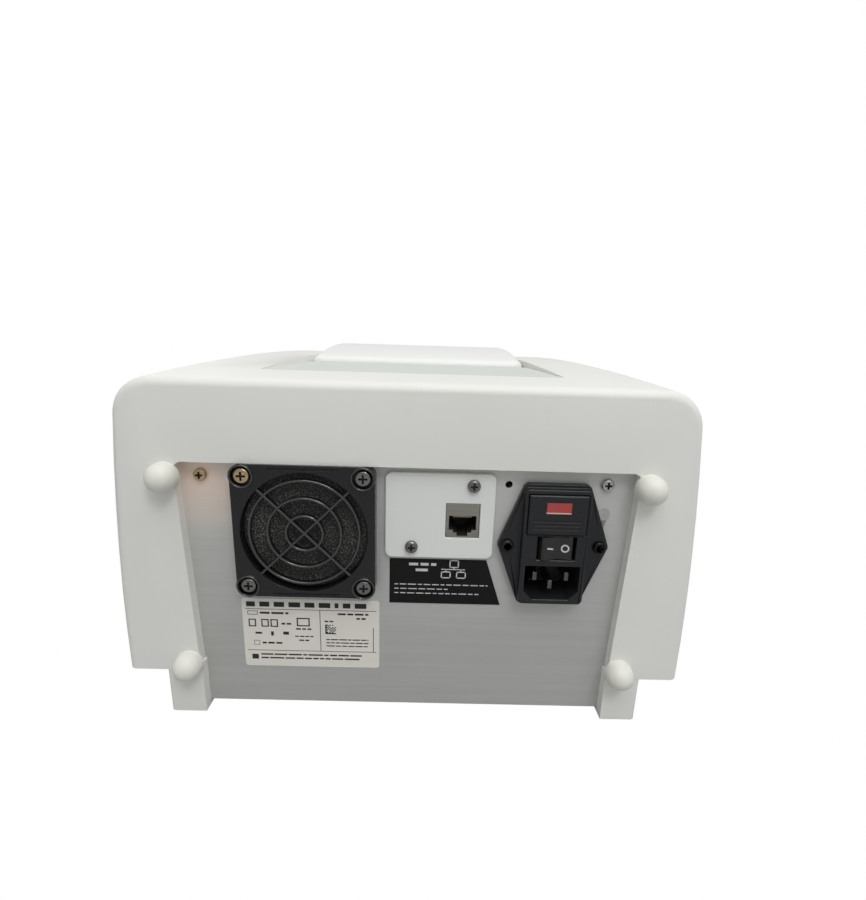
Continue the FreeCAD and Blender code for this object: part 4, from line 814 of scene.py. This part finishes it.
class Grower:
    """A tree of geometry nodes with named inputs, and the mesh that it grows for given values."""

    def __init__(self, name, numbers):
        self.tree = bpy.data.node_groups.new(name, "GeometryNodeTree")
        self.sockets = {}
        for label, kind in (*numbers, ("Material", "NodeSocketMaterial")):
            made = self.tree.interface.new_socket(label, in_out="INPUT", socket_type=kind)
            self.sockets[label] = made.identifier
        self.tree.interface.new_socket(
            "Geometry", in_out="OUTPUT", socket_type="NodeSocketGeometry")
        self.start = self.tree.nodes.new("NodeGroupInput")
        self.link = self.tree.links.new

    def add(self, kind, **settings):
        node = self.tree.nodes.new(kind)
        for label, value in settings.items():
            setattr(node, label, value)
        return node

    def scatter(self, low, high, seed):
        """Random values between two corners, one for each point."""
        made = self.add("FunctionNodeRandomValue", data_type="FLOAT_VECTOR")
        made.inputs[0].default_value = low
        made.inputs[1].default_value = high
        made.inputs["Seed"].default_value = seed
        return made.outputs[0]

    def close(self, geometry):
        whole = self.add("GeometryNodeRealizeInstances")
        self.link(geometry, whole.inputs["Geometry"])
        finish = self.add("GeometryNodeSetMaterial")
        self.link(whole.outputs["Geometry"], finish.inputs["Geometry"])
        self.link(self.start.outputs["Material"], finish.inputs["Material"])
        self.link(finish.outputs["Geometry"], self.add("NodeGroupOutput").inputs["Geometry"])

    def grow(self, **values):
        carrier = bpy.data.objects.new("carrier", bpy.data.meshes.new("carrier"))
        bpy.context.collection.objects.link(carrier)
        grown = carrier.modifiers.new("grown", "NODES")
        grown.node_group = self.tree
        for label, value in values.items():
            grown[self.sockets[label]] = value
        evaluated = carrier.evaluated_get(bpy.context.evaluated_depsgraph_get())
        mesh = bpy.data.meshes.new_from_object(evaluated)
        bpy.data.objects.remove(carrier)
        return mesh


def knot_nodes():
    """Small knots scattered over a disc, as the strands of an open foam meet."""
    knots = Grower("foam knots", (("Radius", "NodeSocketFloat"), ("Count", "NodeSocketInt"),
                                  ("Knot", "NodeSocketFloat"), ("Scatter", "NodeSocketFloat")))
    link = knots.link
    given = knots.start.outputs
    grid = knots.add("GeometryNodeMeshGrid")
    width = knots.add("ShaderNodeMath", operation="MULTIPLY")
    link(given["Radius"], width.inputs[0])
    width.inputs[1].default_value = 2.0
    for label in ("Size X", "Size Y"):
        link(width.outputs[0], grid.inputs[label])
    for label in ("Vertices X", "Vertices Y"):
        link(given["Count"], grid.inputs[label])
    reach = knots.add("ShaderNodeVectorMath", operation="LENGTH")
    link(knots.add("GeometryNodeInputPosition").outputs[0], reach.inputs[0])
    outside = knots.add("FunctionNodeCompare", data_type="FLOAT", operation="GREATER_THAN")
    link(reach.outputs["Value"], outside.inputs[0])
    link(given["Radius"], outside.inputs[1])
    trimmed = knots.add("GeometryNodeDeleteGeometry")
    link(grid.outputs["Mesh"], trimmed.inputs["Geometry"])
    link(outside.outputs[0], trimmed.inputs["Selection"])
    scaled = knots.add("ShaderNodeVectorMath", operation="SCALE")
    link(knots.scatter((-1, -1, -0.6), (1, 1, 0.6), 3), scaled.inputs[0])
    link(given["Scatter"], scaled.inputs["Scale"])
    moved = knots.add("GeometryNodeSetPosition")
    link(trimmed.outputs["Geometry"], moved.inputs["Geometry"])
    link(scaled.outputs[0], moved.inputs["Offset"])
    ball = knots.add("GeometryNodeMeshIcoSphere")
    link(given["Knot"], ball.inputs["Radius"])
    scattered = knots.add("GeometryNodeInstanceOnPoints")
    link(moved.outputs["Geometry"], scattered.inputs["Points"])
    link(ball.outputs["Mesh"], scattered.inputs["Instance"])
    link(knots.scatter((0.4, 0.4, 0.4), (1.6, 1.3, 1.1), 8), scattered.inputs["Scale"])
    link(knots.scatter((0, 0, 0), (3, 3, 3), 11), scattered.inputs["Rotation"])
    knots.close(scattered.outputs["Instances"])
    return knots


def bead_nodes():
    """A round bead bent into a ring."""
    bead = Grower("bead ring", (("Radius", "NodeSocketFloat"), ("Bead", "NodeSocketFloat")))
    ring = bead.add("GeometryNodeCurvePrimitiveCircle")
    section = bead.add("GeometryNodeCurvePrimitiveCircle")
    ring.inputs["Resolution"].default_value = RING_STEPS
    section.inputs["Resolution"].default_value = SECTION_STEPS
    bead.link(bead.start.outputs["Radius"], ring.inputs["Radius"])
    bead.link(bead.start.outputs["Bead"], section.inputs["Radius"])
    tube = bead.add("GeometryNodeCurveToMesh")
    bead.link(ring.outputs["Curve"], tube.inputs["Curve"])
    bead.link(section.outputs["Curve"], tube.inputs["Profile Curve"])
    bead.close(tube.outputs["Mesh"])
    return bead


def facing_rear(x, y, z):
    """Stands a shape that was made flat so that it faces the rear, at a place in mm."""
    return Matrix.Translation(Vector((x, y, z)) * MM) @ Matrix.Rotation(math.radians(-90), 4, "X")


def make_filter_knots():
    low, high = box_of("fan_filter")
    middle = (low + high) / 2
    mesh = knot_nodes().grow(
        Radius=(high.x - low.x - KNOT_MARGIN) / 2 * MM, Count=KNOTS_ACROSS,
        Knot=KNOT_RADIUS * MM, Scatter=KNOT_SCATTER * MM, Material=MATERIALS["filter_knots"])
    mesh.transform(facing_rear(middle.x, high.y + KNOT_RISE, middle.z))
    dress("filter_knots", mesh, "filter_knots", "casing")


def add_rod(bm, turn, length, radius):
    """A straight round bead along X, at the place and with the turn of a matrix."""
    bmesh.ops.create_cone(
        bm, cap_ends=True, segments=SECTION_STEPS, radius1=radius * MM, radius2=radius * MM,
        depth=length * MM, matrix=turn @ Matrix.Rotation(math.radians(90), 4, "Y"))


def make_guard_beads():
    """The rounded faces of the guard's rings and bars, and of the rims round its screws."""
    low, high = box_of("fan_guard")
    middle = (low + high) / 2
    bead = bead_nodes()
    bm = bmesh.new()
    front = high.y - BEAD_SINK
    rings = [(middle.x, front, middle.z, GUARD_RING_PITCH * count, GUARD_BEAD)
             for count in (1, 2, 3)]
    for along in (-FAN_HOLE_HALF, FAN_HOLE_HALF):
        for up in (-FAN_HOLE_HALF, FAN_HOLE_HALF):
            rings.append((middle.x + along, high.y - SEAT_BEAD_SINK, middle.z + up,
                          SEAT_RIM_RADIUS, SEAT_BEAD))
    for x, y, z, radius, bulge in rings:
        mesh = bead.grow(
            Radius=radius * MM, Bead=bulge * MM, Material=MATERIALS["guard_sheen"])
        mesh.transform(facing_rear(x, y, z))
        bm.from_mesh(mesh)
        bpy.data.meshes.remove(mesh)
    for lean in (-45, 45):
        turn = Matrix.Translation(Vector((middle.x, front, middle.z)) * MM)
        turn = turn @ Matrix.Rotation(math.radians(lean), 4, "Y")
        add_rod(bm, turn, 2 * GUARD_BORE, GUARD_BEAD)
    new_object("guard_beads", bm, "guard_sheen", "casing", BEAD_SMOOTH_ANGLE)


def make_window_rim():
    """A pale strip along the lower edge of the red window: a painted highlight."""
    low, high = box_of("drawer_window")
    bm = bmesh.new()
    add_plate(bm, (low.x, high.y - RIM_DEPTH, low.z - RIM_OVERLAP),
              (high.x, high.y + RIM_RISE, low.z + RIM_HEIGHT))
    new_object("window_lower_highlight", bm, "window_edge_highlight", "drawer")


dress_nodes()
print_white_label()
print_black_label()
mark_rocker()
make_filter_knots()
make_guard_beads()
make_window_rim()
